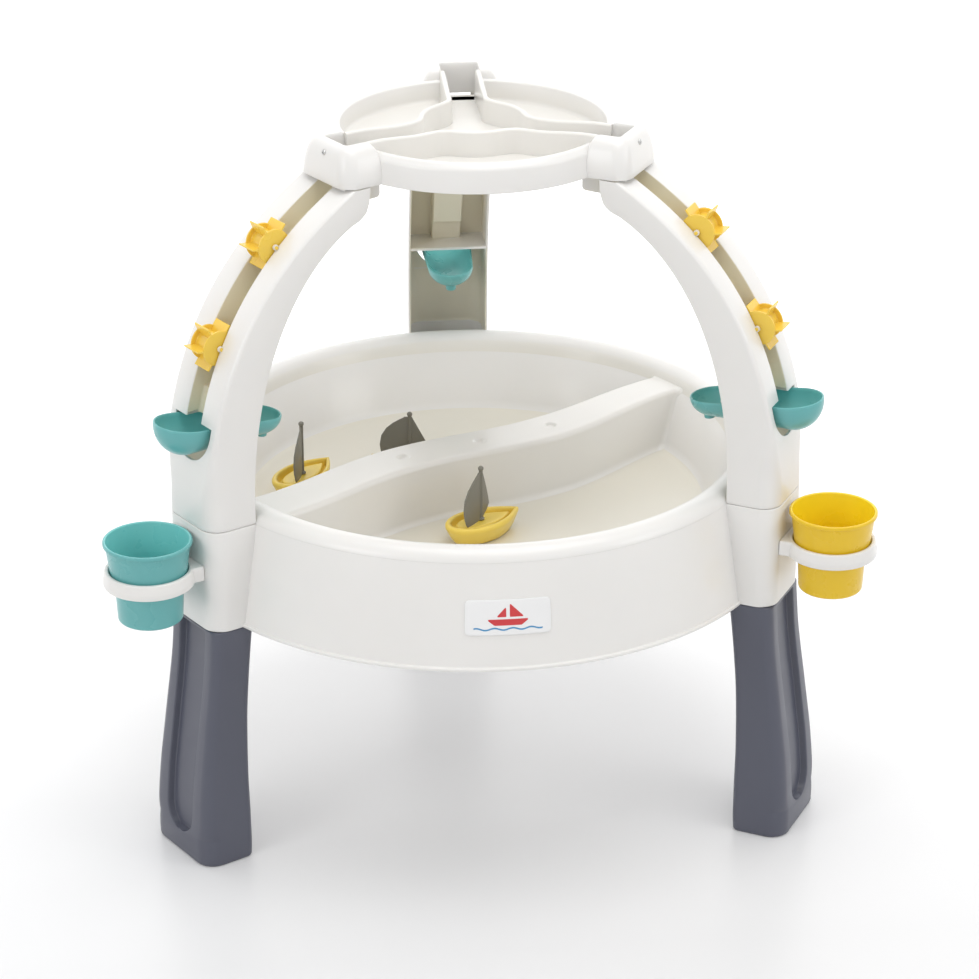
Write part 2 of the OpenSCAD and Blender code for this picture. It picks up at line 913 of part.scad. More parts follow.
// Deck plan: a round stern and sides that meet in a pointed bow at +x
function deck_half(x, l, w) =
    let (u = (x + l / 2) / l)
    u < 0.45 ? w / 2 * sqrt(max(0, 1 - pow((0.45 - u) / 0.45, 2.4))) : w / 2 * (1 - pow((u - 0.45) / 0.55, 1.9));

module deck_plan(l, w) {
    n = 24;
    xs = [for (i = [0:n]) -l / 2 + l * (1 - cos(180 * i / n)) / 2];
    polygon(concat(
        [for (x = xs) [x, deck_half(x, l, w)]],
        backwards([for (i = [1:n - 1]) [xs[i], -deck_half(xs[i], l, w)]])
    ));
}

module boat_hull() {
    socket_z = boat_h - 3;
    color("gold")
        difference() {
            union() {
                difference() {
                    hull() {
                        linear_extrude(0.5)
                            deck_plan(boat_l - 26, boat_w - 22);
                        translate([0, 0, boat_h - 8])
                            linear_extrude(8)
                                deck_plan(boat_l, boat_w);
                    }
                    translate([0, 0, boat_h - 9])
                        linear_extrude(10)
                            deck_plan(boat_l - 14, boat_w - 13);
                }
                translate([-2, 0, boat_h - 10])
                    linear_extrude(7)
                        deck_plan(boat_l - 30, boat_w - 26);
            }
            translate([boat_mast_x, 0, socket_z - 12])
                cylinder(r = mast_r + 0.05, h = 20, $fn = 48);
        }
}

// Mast with a full curved sail on one side and a straight one on the other
module boat_sail() {
    color("dimgray")
        union() {
            translate([0, 0, -9])
                cylinder(r = mast_r, h = mast_h + 9, $fn = 48);
            translate([0, 0, mast_h])
                sphere(r = mast_r + 0.6, $fn = 32);
            translate([0, 0, 0.4])
                cylinder(r = mast_r + 2, h = 2, $fn = 48);
            intersection() {
                across(-10, 10, sail_outline);
                translate([0, sail_bend_r, 0])
                    difference() {
                        cylinder(r = sail_bend_r + sail_t / 2, h = mast_h, $fn = 180);
                        translate([0, 0, -1])
                            cylinder(r = sail_bend_r - sail_t / 2, h = mast_h + 2, $fn = 180);
                    }
            }
        }
}

module place_boat(b) {
    translate([b[0], b[1], boat_base_z])
        rotate([0, 0, b[2]])
            children();
}

module place_sail(b) {
    place_boat(b)
        translate([boat_mast_x, 0, boat_h - 2.8])
            rotate([0, 0, b[3] - b[2]])
                children();
}

module boat_hull_front() { place_boat(boat_front) boat_hull(); }
module boat_hull_middle() { place_boat(boat_middle) boat_hull(); }
module boat_hull_left() { place_boat(boat_left) boat_hull(); }
module boat_sail_front() { place_sail(boat_front) boat_sail(); }
module boat_sail_middle() { place_sail(boat_middle) boat_sail(); }
module boat_sail_left() { place_sail(boat_left) boat_sail(); }

// ---------------------------------------------------------------- label and screws

module label_plate() {
    mid = (label_z0 + label_z1) / 2;
    half_w = tub_r(mid) * sin(label_sweep / 2);
    color("white")
        intersection() {
            rotate([0, 0, label_middle - label_sweep / 2])
                rotate_extrude(angle = label_sweep, $fn = 120)
                    polygon([
                        [tub_r(label_z0) + 0.2, label_z0],
                        [tub_r(label_z0) + 0.2 + label_t, label_z0],
                        [tub_r(label_z1) + 0.2 + label_t, label_z1],
                        [tub_r(label_z1) + 0.2, label_z1]
                    ]);
            rotate([0, 0, label_middle - 270])
                translate([0, -300, mid])
                    rotate([90, 0, 0])
                        linear_extrude(80)
                            union() {
                                square([2 * half_w + 10, label_z1 - label_z0 - 2 * label_corner], center = true);
                                square([2 * (half_w - label_corner), label_z1 - label_z0 + 2], center = true);
                                for (sx = [-1, 1], sz = [-1, 1])
                                    translate([
                                        sx * (half_w - label_corner),
                                        sz * ((label_z1 - label_z0) / 2 - label_corner)
                                    ])
                                        circle(r = label_corner);
                            }
        }
}

module leg_screws() {
    color("silver")
        for (turn = arms, side = [-1, 1])
            arm(turn)
                translate([column_inner, side * leg_screw_y, leg_screw_z])
                    screw(screw_l);
}

module arch_screws() {
    color("silver")
        for (turn = arms, side = [-1, 1])
            arm(turn)
                translate([column_inner, side * arch_screw_y, arch_screw_z])
                    screw(screw_l);
}

module tray_screws() {
    color("silver")
        for (turn = arms)
            arm(turn)
                translate([block_x1, 0, tray_screw_z])
                    rotate([0, 0, 180])
                        screw(tray_screw_l);
}

// ---------------------------------------------------------------- nodes

placed() tub();
placed() leg_left();
placed() leg_right();
placed() leg_rear();
placed() arch_left();
placed() arch_right();
placed() arch_rear();
placed() top_tray();
placed() bowl_left();
placed() bowl_right();
placed() bowl_rear();
placed() cup_ring_left();
placed() cup_ring_right();
placed() cup_left();
placed() cup_right();
placed() wheel_left_upper();
placed() wheel_left_lower();
placed() wheel_right_upper();
placed() wheel_right_lower();
placed() wheel_rear_upper();
placed() wheel_rear_lower();
placed() axle_left_upper();
placed() axle_left_lower();
placed() axle_right_upper();
placed() axle_right_lower();
placed() axle_rear_upper();
placed() axle_rear_lower();
placed() boat_hull_front();
placed() boat_hull_middle();
placed() boat_hull_left();
placed() boat_sail_front();
placed() boat_sail_middle();
placed() boat_sail_left();
placed() label_plate();
placed() leg_screws();
placed() arch_screws();
placed() tray_screws();
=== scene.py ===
"""Sand and water table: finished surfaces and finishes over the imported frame.

Every surface is worked out in millimetres. Pieces of an arm are laid out with u
outwards along the arm, v across it and z up, and Layout turns them into place.
"""
from __future__ import annotations

import json
import logging
import math
from dataclasses import dataclass, field
from enum import Enum

import bmesh
import bpy
import numpy as np
from mathutils import Matrix, Vector


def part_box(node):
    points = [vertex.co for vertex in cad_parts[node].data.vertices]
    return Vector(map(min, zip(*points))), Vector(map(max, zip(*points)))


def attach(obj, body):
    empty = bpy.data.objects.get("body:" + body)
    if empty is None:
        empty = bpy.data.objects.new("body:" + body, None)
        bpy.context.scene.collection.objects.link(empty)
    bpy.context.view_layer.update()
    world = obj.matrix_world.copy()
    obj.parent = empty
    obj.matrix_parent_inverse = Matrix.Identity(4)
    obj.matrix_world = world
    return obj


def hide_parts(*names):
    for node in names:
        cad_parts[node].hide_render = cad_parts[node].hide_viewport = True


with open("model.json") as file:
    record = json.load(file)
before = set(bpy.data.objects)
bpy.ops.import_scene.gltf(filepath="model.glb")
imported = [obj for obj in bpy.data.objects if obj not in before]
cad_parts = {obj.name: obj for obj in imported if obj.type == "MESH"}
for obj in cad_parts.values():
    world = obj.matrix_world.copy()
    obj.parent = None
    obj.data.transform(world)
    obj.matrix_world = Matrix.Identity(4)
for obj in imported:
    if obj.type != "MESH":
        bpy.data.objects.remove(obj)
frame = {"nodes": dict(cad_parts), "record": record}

Array = np.ndarray
log = logging.getLogger("water_table")
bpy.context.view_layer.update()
# Radius of the lip at the tub's foot, in millimetres
LIP_R = 359.5


class Side(Enum):
    """The three arms and the way each one points, in degrees from +X."""

    LEFT = 210.0
    RIGHT = 330.0
    REAR = 90.0

    @property
    def word(self) -> str:
        """Give the arm's word in node names."""
        return self.name.lower()


class Spot(Enum):
    """The two water wheels of an arch, as the share along its outer curve."""

    UPPER = 0.15
    LOWER = 0.46


# ------------------------------------------------------------------ layout


@dataclass(frozen=True)
class Layout:
    """Where the tub's axis stands in the frame, in millimetres."""

    axis_y: float

    def world(self, p: Array) -> Array:
        """Shift points laid out about the tub's axis into the frame."""
        return p + np.array([0.0, self.axis_y, 0.0])

    def arm(self, side: Side, p: Array) -> Array:
        """Turn points of an arm, (u, v, z), into the frame.

        Args:
            side: the arm.
            p: points, with the last axis as u, v, z.

        Returns:
            The points turned by the arm's angle about the tub's axis.
        """
        a = math.radians(side.value)
        x = p[..., 0] * math.cos(a) - p[..., 1] * math.sin(a)
        y = p[..., 0] * math.sin(a) + p[..., 1] * math.cos(a)
        return self.world(np.stack([x, y, p[..., 2]], -1))


def make_layout() -> Layout:
    """Find the tub's axis: the front of its lip stands one lip radius before it."""
    return Layout(axis_y=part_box("tub")[0][1] * 1000.0 + LIP_R)


# ------------------------------------------------------------------ surfaces


def ease(x: Array, low: float, high: float) -> Array:
    """Rise smoothly from 0 to 1: three times t squared less twice t cubed.

    Args:
        x: where to read the rise.
        low: the value at which it is 0.
        high: the value at which it is 1.

    Returns:
        The rise at each x.
    """
    t = np.clip((x - low) / (high - low), 0.0, 1.0)
    return t * t * (3.0 - 2.0 * t)


def fillet(corners: Array, radii: Array, closed: bool = True, steps: int = 5) -> Array:
    """Round the corners of a flat path.

    Each corner becomes a circular arc that touches its two sides, written as a
    rational curve of second degree whose middle weight is the sine of half the
    corner's angle.

    Args:
        corners: (n, 2) corners in order.
        radii: n radii; one that doesn't fit is made smaller.
        closed: whether the last corner joins the first.
        steps: stretches in each arc.

    Returns:
        The rounded path, (points, 2).
    """
    c = np.asarray(corners, float)
    r = np.asarray(radii, float)
    before, after = np.roll(c, 1, 0) - c, np.roll(c, -1, 0) - c
    lb = np.maximum(np.linalg.norm(before, axis=1), 1e-9)
    la = np.maximum(np.linalg.norm(after, axis=1), 1e-9)
    before, after = before / lb[:, None], after / la[:, None]
    half = np.arccos(np.clip((before * after).sum(1), -1.0, 1.0)) / 2.0
    cut = np.minimum(r / np.maximum(np.tan(half), 1e-6), 0.49 * np.minimum(la, lb))
    t = np.linspace(0.0, 1.0, steps + 1)[None, :, None]
    w = np.sin(half)[:, None, None]
    a = (c + before * cut[:, None])[:, None]
    b = (c + after * cut[:, None])[:, None]
    mid = c[:, None]
    arc = ((1 - t) ** 2 * a + 2 * w * (1 - t) * t * mid + t * t * b) / (
        (1 - t) ** 2 + 2 * w * (1 - t) * t + t * t
    )
    if closed:
        return arc.reshape(-1, 2)
    inner = arc[1:-1].reshape(-1, 2)
    return np.vstack([c[:1], inner, c[-1:]])


def revolve(section: Array, turns: int, centre: tuple[float, float] = (0.0, 0.0)) -> Array:
    """Turn a section about an upright axis: r cos a, r sin a and z.

    Args:
        section: (n, 2) points as radius and height.
        turns: number of steps in the full turn.
        centre: where the axis stands in plan.

    Returns:
        (n, turns, 3) points.
    """
    a = np.linspace(0.0, 2 * np.pi, turns, endpoint=False)
    r, z = section[:, :1], section[:, 1:]
    return np.stack(
        [centre[0] + r * np.cos(a), centre[1] + r * np.sin(a), z + 0 * a], -1
    )


def cubic(p: Array, t: Array) -> Array:
    """Read a cubic curve, the four control points weighted by Bernstein's terms.

    Args:
        p: (4, 2) control points.
        t: shares along the curve.

    Returns:
        (n, 2) points.
    """
    t = np.asarray(t, float)[:, None]
    return (1 - t) ** 3 * p[0] + 3 * (1 - t) ** 2 * t * p[1] + 3 * (1 - t) * t**2 * p[2] + t**3 * p[3]


def along(path: Array, shares: Array) -> Array:
    """Read a path at shares of its length, by straight steps between points.

    Args:
        path: (n, k) points.
        shares: shares of the whole length, 0 to 1.

    Returns:
        One point for each share.
    """
    run = np.r_[0.0, np.cumsum(np.linalg.norm(np.diff(path, axis=0), axis=1))]
    s = np.asarray(shares) * run[-1]
    return np.stack([np.interp(s, run, path[:, k]) for k in range(path.shape[1])], -1)


def slab_plan(x0: float, x1: float, half: float, inner: float, outer: float, inset: float) -> Array:
    """Draw a rounded oblong in plan, moved inwards all round.

    Args:
        x0: its inner end.
        x1: its outer end.
        half: half its width.
        inner: radius of the inner corners.
        outer: radius of the outer corners.
        inset: how far it is moved inwards.

    Returns:
        (40, 2) points.
    """
    h = half - inset
    a, b = x0 + inset, x1 - inset
    ri, ro = max(inner - inset, 0.3), max(outer - inset, 0.3)
    return fillet([(a, -h), (b, -h), (b, h), (a, h)], [ri, ro, ro, ri], steps=9)


@dataclass
class Skin:
    """The patches of one piece, gathered in metres before they become a mesh."""

    verts: list = field(default_factory=list)
    faces: list = field(default_factory=list)
    # amounts of painted shade and light, one for each point
    wash: list = field(default_factory=list)
    count: int = 0

    def _keep(self, flat: Array, wash: Array | float) -> int:
        """Store points and how much painted shade and light each takes.

        Args:
            flat: (n, 3) points in millimetres.
            wash: the amount of painted shade and light, one value or one for each point.

        Returns:
            The first point's number.
        """
        start = self.count
        self.verts.append(flat * 0.001)
        self.wash.append(np.broadcast_to(wash, flat.shape[0]).astype(float))
        self.count += flat.shape[0]
        return start

    def grid(self, p: Array, rows: bool = False, cols: bool = False, wash: Array | float = 0.0) -> "Skin":
        """Add a patch of four-sided faces.

        Args:
            p: (m, n, 3) points.
            rows: whether the last row joins the first.
            cols: whether the last column joins the first.
            wash: the amount of painted shade and light, one value or one for each point.

        Returns:
            This skin.
        """
        m, n = p.shape[:2]
        w = np.broadcast_to(wash, (m, n)).reshape(-1)
        number = np.arange(m * n).reshape(m, n) + self._keep(p.reshape(-1, 3), w)
        if rows:
            number = np.vstack([number, number[:1]])
        if cols:
            number = np.hstack([number, number[:, :1]])
        quads = np.stack([number[:-1, :-1], number[:-1, 1:], number[1:, 1:], number[1:, :-1]], -1)
        self.faces.extend(quads.reshape(-1, 4).tolist())
        return self

    def lid(self, ring: Array, wash: float = 0.0) -> "Skin":
        """Close a flat ring of points with one face.

        Args:
            ring: (n, 3) points in order.
            wash: the ring's amount of painted shade and light.

        Returns:
            This skin.
        """
        start = self._keep(ring, wash)
        self.faces.append(list(range(start, start + len(ring))))
        return self

    def solid(self, rings: Array, wash: Array | float = 0.0) -> "Skin":
        """Add rings joined in order and closed by a lid at both ends.

        Args:
            rings: (m, n, 3) points.
            wash: the amount of painted shade and light, one value or one for each point.

        Returns:
            This skin.
        """
        self.grid(rings, cols=True, wash=wash)
        return self.lid(rings[0]).lid(rings[-1])


BODY_OF = {
    node: body
    for body, nodes in frame["record"]["behaviour"]["bodies"].items()
    for node in nodes
}


def publish(skin: Skin, name: str, node: str, material: bpy.types.Material,
            bevel: float = 0.0, hides: bool = True, sharp: float = 38.0) -> bpy.types.Object:
    """Make a skin a finished piece that stands for a node.

    Args:
        skin: the patches.
        name: the piece's name.
        node: the node whose body it takes.
        material: its finish.
        bevel: width of softened edges, in millimetres, or 0 for none.
        hides: whether the node itself is hidden.
        sharp: the angle past which an edge stays crisp, in degrees.

    Returns:
        The object, at the origin.
    """
    mesh = bpy.data.meshes.new(name)
    mesh.from_pydata(np.vstack(skin.verts).tolist(), [], skin.faces)
    # the wash values become the mesh attribute from which the finishes paint shade and light
    mesh.attributes.new("wash", "FLOAT", "POINT").data.foreach_set(
        "value", np.concatenate(skin.wash).astype(np.float32))
    work = bmesh.new()
    work.from_mesh(mesh)
    bmesh.ops.remove_doubles(work, verts=work.verts, dist=2e-6)
    bmesh.ops.recalc_face_normals(work, faces=work.faces)
    work.to_mesh(mesh)
    work.free()
    mesh.polygons.foreach_set("use_smooth", np.ones(len(mesh.polygons), bool))
    mesh.set_sharp_from_angle(angle=math.radians(sharp))
    mesh.materials.append(material)
    piece = bpy.data.objects.new(name, mesh)
    bpy.context.scene.collection.objects.link(piece)
    if bevel > 0:
        edge = piece.modifiers.new("soft_edges", "BEVEL")
        edge.width = bevel * 0.001
        edge.segments = 3
        edge.limit_method = "ANGLE"
        edge.angle_limit = math.radians(sharp)
        edge.use_clamp_overlap = False
        edge.harden_normals = True
    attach(piece, BODY_OF[node])
    if hides:
        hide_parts(node)
    log.info("%s: %d faces", name, len(mesh.polygons))
    return piece


# ------------------------------------------------------------------ finishes


@dataclass(frozen=True)
class Plastic:
    """A moulded plastic's finish, with the colour of its painted shade and light."""

    name: str
    colour: tuple[float, float, float]
    shade: tuple[float, float, float]
    # colour painted where the wash attribute is 1: painted shade on the shell, painted light on the cups
    # and scoops
    wash: tuple[float, float, float]
    roughness: float = 0.32
    coat: float = 0.1
    glow: float = 0.05
    grain: float = 0.00003
    ripple: float = 0.0004


@dataclass(frozen=True)
class Metal:
    """A plated steel finish."""

    name: str
    colour: tuple[float, float, float]
    roughness: float


def moulded_plastic(finish: Plastic) -> bpy.types.Material:
    """Build the material of a moulded plastic.

    The colour drifts between two close tones in soft clouds, and goes over to
    its wash tone as the wash attribute rises: painted shade on the shell's shaded
    inner faces, painted light inside the cups and scoops. The surface has the slow
    ripple of a moulded sheet and the fine grain of the mould.

    Args:
        finish: its colours and gloss.

    Returns:
        The material.
    """
    mat = bpy.data.materials.new(finish.name)
    mat.use_nodes = True
    tree = mat.node_tree
    nodes, links = tree.nodes, tree.links
    nodes.clear()

    # this frame holds the resin's two tones and the painted shade and light of the inner faces
    tint = nodes.new("NodeFrame")
    tint.label = "resin tint and painted shading"
    gloss = nodes.new("NodeFrame")
    gloss.label = "gloss"
    relief = nodes.new("NodeFrame")
    relief.label = "relief of the mould"

    where = nodes.new("ShaderNodeTexCoord")
    where.label = "place on the piece"
    where.location = (-1300, 0)

    clouds = nodes.new("ShaderNodeTexNoise")
    clouds.label = "soft clouds in the resin"
    clouds.location = (-1050, 320)
    clouds.parent = tint
    clouds.inputs["Scale"].default_value = 9.0
    clouds.inputs["Detail"].default_value = 3.0
    clouds.inputs["Roughness"].default_value = 0.55

    span = nodes.new("ShaderNodeMapRange")
    span.label = "spread of the clouds"
    span.location = (-850, 320)
    span.parent = tint
    span.inputs["From Min"].default_value = 0.3
    span.inputs["From Max"].default_value = 0.7

    body = nodes.new("ShaderNodeMix")
    body.label = "two tones of resin"
    body.data_type = "RGBA"
    body.location = (-640, 320)
    body.parent = tint
    body.inputs["A"].default_value = (*finish.colour, 1.0)
    body.inputs["B"].default_value = (*finish.shade, 1.0)

    # how much painted shade and light each point takes, read from the mesh
    shading_attribute = nodes.new("ShaderNodeAttribute")
    shading_attribute.label = "inner faces"
    shading_attribute.attribute_name = "wash"
    shading_attribute.location = (-850, 60)
    shading_attribute.parent = tint

    painted_shading_mix = nodes.new("ShaderNodeMix")
    painted_shading_mix.label = "painted shade and light of the inner faces"
    painted_shading_mix.data_type = "RGBA"
    painted_shading_mix.location = (-420, 260)
    painted_shading_mix.parent = tint
    painted_shading_mix.inputs["B"].default_value = (*finish.wash, 1.0)

    drift = nodes.new("ShaderNodeTexNoise")
    drift.label = "handled patches"
    drift.location = (-850, -160)
    drift.parent = gloss
    drift.inputs["Scale"].default_value = 24.0
    drift.inputs["Detail"].default_value = 4.0

    rough = nodes.new("ShaderNodeMapRange")
    rough.label = "roughness of the patches"
    rough.location = (-420, -120)
    rough.parent = gloss
    rough.inputs["From Min"].default_value = 0.3
    rough.inputs["From Max"].default_value = 0.7
    rough.inputs["To Min"].default_value = finish.roughness - 0.03
    rough.inputs["To Max"].default_value = finish.roughness + 0.04

    slow = nodes.new("ShaderNodeTexNoise")
    slow.label = "ripple of the moulded sheet"
    slow.location = (-850, -420)
    slow.parent = relief
    slow.inputs["Scale"].default_value = 14.0
    slow.inputs["Detail"].default_value = 1.0

    fine = nodes.new("ShaderNodeTexNoise")
    fine.label = "fine mould grain"
    fine.location = (-850, -660)
    fine.parent = relief
    fine.inputs["Scale"].default_value = 1400.0
    fine.inputs["Detail"].default_value = 2.0

    swell = nodes.new("ShaderNodeBump")
    swell.label = "ripple relief"
    swell.location = (-420, -420)
    swell.parent = relief
    swell.inputs["Strength"].default_value = 0.5
    swell.inputs["Distance"].default_value = finish.ripple

    tooth = nodes.new("ShaderNodeBump")
    tooth.label = "grain relief"
    tooth.location = (-200, -520)
    tooth.parent = relief
    tooth.inputs["Strength"].default_value = 0.4
    tooth.inputs["Distance"].default_value = finish.grain

    shader = nodes.new("ShaderNodeBsdfPrincipled")
    shader.label = "plastic"
    shader.location = (60, 120)
    shader.inputs["IOR"].default_value = 1.5
    shader.inputs["Coat Weight"].default_value = finish.coat
    shader.inputs["Coat Roughness"].default_value = 0.16
    shader.inputs["Subsurface Weight"].default_value = finish.glow
    shader.inputs["Subsurface Scale"].default_value = 0.004
    shader.inputs["Subsurface Radius"].default_value = (1.0, 0.8, 0.6)

    out = nodes.new("ShaderNodeOutputMaterial")
    out.label = "surface"
    out.location = (360, 120)

    links.new(where.outputs["Object"], clouds.inputs["Vector"])
    links.new(where.outputs["Object"], drift.inputs["Vector"])
    links.new(where.outputs["Object"], slow.inputs["Vector"])
    links.new(where.outputs["Object"], fine.inputs["Vector"])
    links.new(clouds.outputs["Fac"], span.inputs["Value"])
    links.new(span.outputs["Result"], body.inputs["Factor"])
    links.new(body.outputs["Result"], painted_shading_mix.inputs["A"])
    links.new(shading_attribute.outputs["Fac"], painted_shading_mix.inputs["Factor"])
    links.new(painted_shading_mix.outputs["Result"], shader.inputs["Base Color"])
    links.new(drift.outputs["Fac"], rough.inputs["Value"])
    links.new(rough.outputs["Result"], shader.inputs["Roughness"])
    links.new(slow.outputs["Fac"], swell.inputs["Height"])
    links.new(fine.outputs["Fac"], tooth.inputs["Height"])
    links.new(swell.outputs["Normal"], tooth.inputs["Normal"])
    links.new(tooth.outputs["Normal"], shader.inputs["Normal"])
    links.new(shader.outputs["BSDF"], out.inputs["Surface"])
    return mat


def plated_steel(finish: Metal) -> bpy.types.Material:
    """Build the material of plated steel, with fine turning marks and dull spots.

    Args:
        finish: its colour and roughness.

    Returns:
        The material.
    """
    mat = bpy.data.materials.new(finish.name)
    mat.use_nodes = True
    tree = mat.node_tree
    nodes, links = tree.nodes, tree.links
    nodes.clear()

    plating = nodes.new("NodeFrame")
    plating.label = "plating"
    marks = nodes.new("NodeFrame")
    marks.label = "marks of the lathe"

    where = nodes.new("ShaderNodeTexCoord")
    where.label = "place on the pin"
    where.location = (-900, 0)

    spots = nodes.new("ShaderNodeTexNoise")
    spots.label = "dull spots in the plating"
    spots.location = (-680, 160)
    spots.parent = plating
    spots.inputs["Scale"].default_value = 500.0
    spots.inputs["Detail"].default_value = 4.0

    dull = nodes.new("ShaderNodeMapRange")
    dull.label = "roughness of the spots"
    dull.location = (-420, 160)
    dull.parent = plating
    dull.inputs["To Min"].default_value = finish.roughness - 0.08
    dull.inputs["To Max"].default_value = finish.roughness + 0.12

    rings = nodes.new("ShaderNodeTexNoise")
    rings.label = "turning marks"
    rings.location = (-680, -140)
    rings.parent = marks
    rings.inputs["Scale"].default_value = 2500.0

    bump = nodes.new("ShaderNodeBump")
    bump.label = "depth of the marks"
    bump.location = (-420, -140)
    bump.parent = marks
    bump.inputs["Strength"].default_value = 0.3
    bump.inputs["Distance"].default_value = 0.00002

    shader = nodes.new("ShaderNodeBsdfPrincipled")
    shader.label = "plated steel"
    shader.location = (-160, 60)
    shader.inputs["Base Color"].default_value = (*finish.colour, 1.0)
    shader.inputs["Metallic"].default_value = 1.0

    out = nodes.new("ShaderNodeOutputMaterial")
    out.label = "surface"
    out.location = (160, 60)

    links.new(where.outputs["Object"], spots.inputs["Vector"])
    links.new(where.outputs["Object"], rings.inputs["Vector"])
    links.new(spots.outputs["Fac"], dull.inputs["Value"])
    links.new(dull.outputs["Result"], shader.inputs["Roughness"])
    links.new(rings.outputs["Fac"], bump.inputs["Height"])
    links.new(bump.outputs["Normal"], shader.inputs["Normal"])
    links.new(shader.outputs["BSDF"], out.inputs["Surface"])
    return mat


def plastic(name: str, colour: tuple[float, float, float],
            wash: tuple[float, float, float] = (0.95, 0.90, 0.72), **more: float) -> bpy.types.Material:
    """Build a plastic whose shade follows from its colour.

    Args:
        name: the material's name.
        colour: its base colour.
        wash: what the colour is multiplied by where the wash attribute is 1; below 1 it paints shade,
            above 1 it paints light.
        more: other values of the finish.

    Returns:
        The material.
    """
    shade = tuple(0.975 * c for c in colour)
    wash = tuple(k * c for k, c in zip(wash, colour))
    return moulded_plastic(Plastic(name, colour, shade, wash, **more))


@dataclass
class Palette:
    """The finishes of the table."""

    shell: bpy.types.Material
    leg: bpy.types.Material
    teal: bpy.types.Material
    yellow_cup: bpy.types.Material
    wheel: bpy.types.Material
    boat: bpy.types.Material
    sail: bpy.types.Material
    film: bpy.types.Material
    ink_red: bpy.types.Material
    ink_blue: bpy.types.Material
    steel: bpy.types.Material


def make_palette() -> Palette:
    """Mix every finish of the table."""
    return Palette(
        # the shell's default wash paints shade: darker and warmer on inner faces and in recesses
        shell=plastic("pearl_shell", (0.80, 0.787, 0.765), roughness=0.33, coat=0.3),
        leg=plastic("slate_leg", (0.085, 0.09, 0.122), roughness=0.36, coat=0.15, glow=0.0),
        # the teal and the yellow cup wash tones are lighter: painted light inside cups and scoops
        teal=plastic("teal_scoop", (0.13, 0.42, 0.42), (1.55, 1.45, 1.42), roughness=0.28),
        yellow_cup=plastic("yellow_cup", (0.80, 0.53, 0.012), (1.17, 1.32, 1.5), roughness=0.28),
        wheel=plastic("yellow_wheel", (0.86, 0.59, 0.075), roughness=0.25),
        boat=plastic("yellow_boat", (0.86, 0.63, 0.10), roughness=0.3),
        sail=plastic("grey_sail", (0.19, 0.182, 0.15), roughness=0.42, coat=0.05, glow=0.0),
        film=plastic("label_film", (0.86, 0.86, 0.86), roughness=0.22, ripple=0.0001, glow=0.0),
        ink_red=plastic("red_print", (0.62, 0.045, 0.05), roughness=0.3, ripple=0.0001, glow=0.0),
        ink_blue=plastic("blue_print", (0.08, 0.30, 0.55), roughness=0.3, ripple=0.0001, glow=0.0),
        steel=plated_steel(Metal("plated_pin", (0.62, 0.62, 0.61), 0.3)),
    )


# ------------------------------------------------------------------ tub


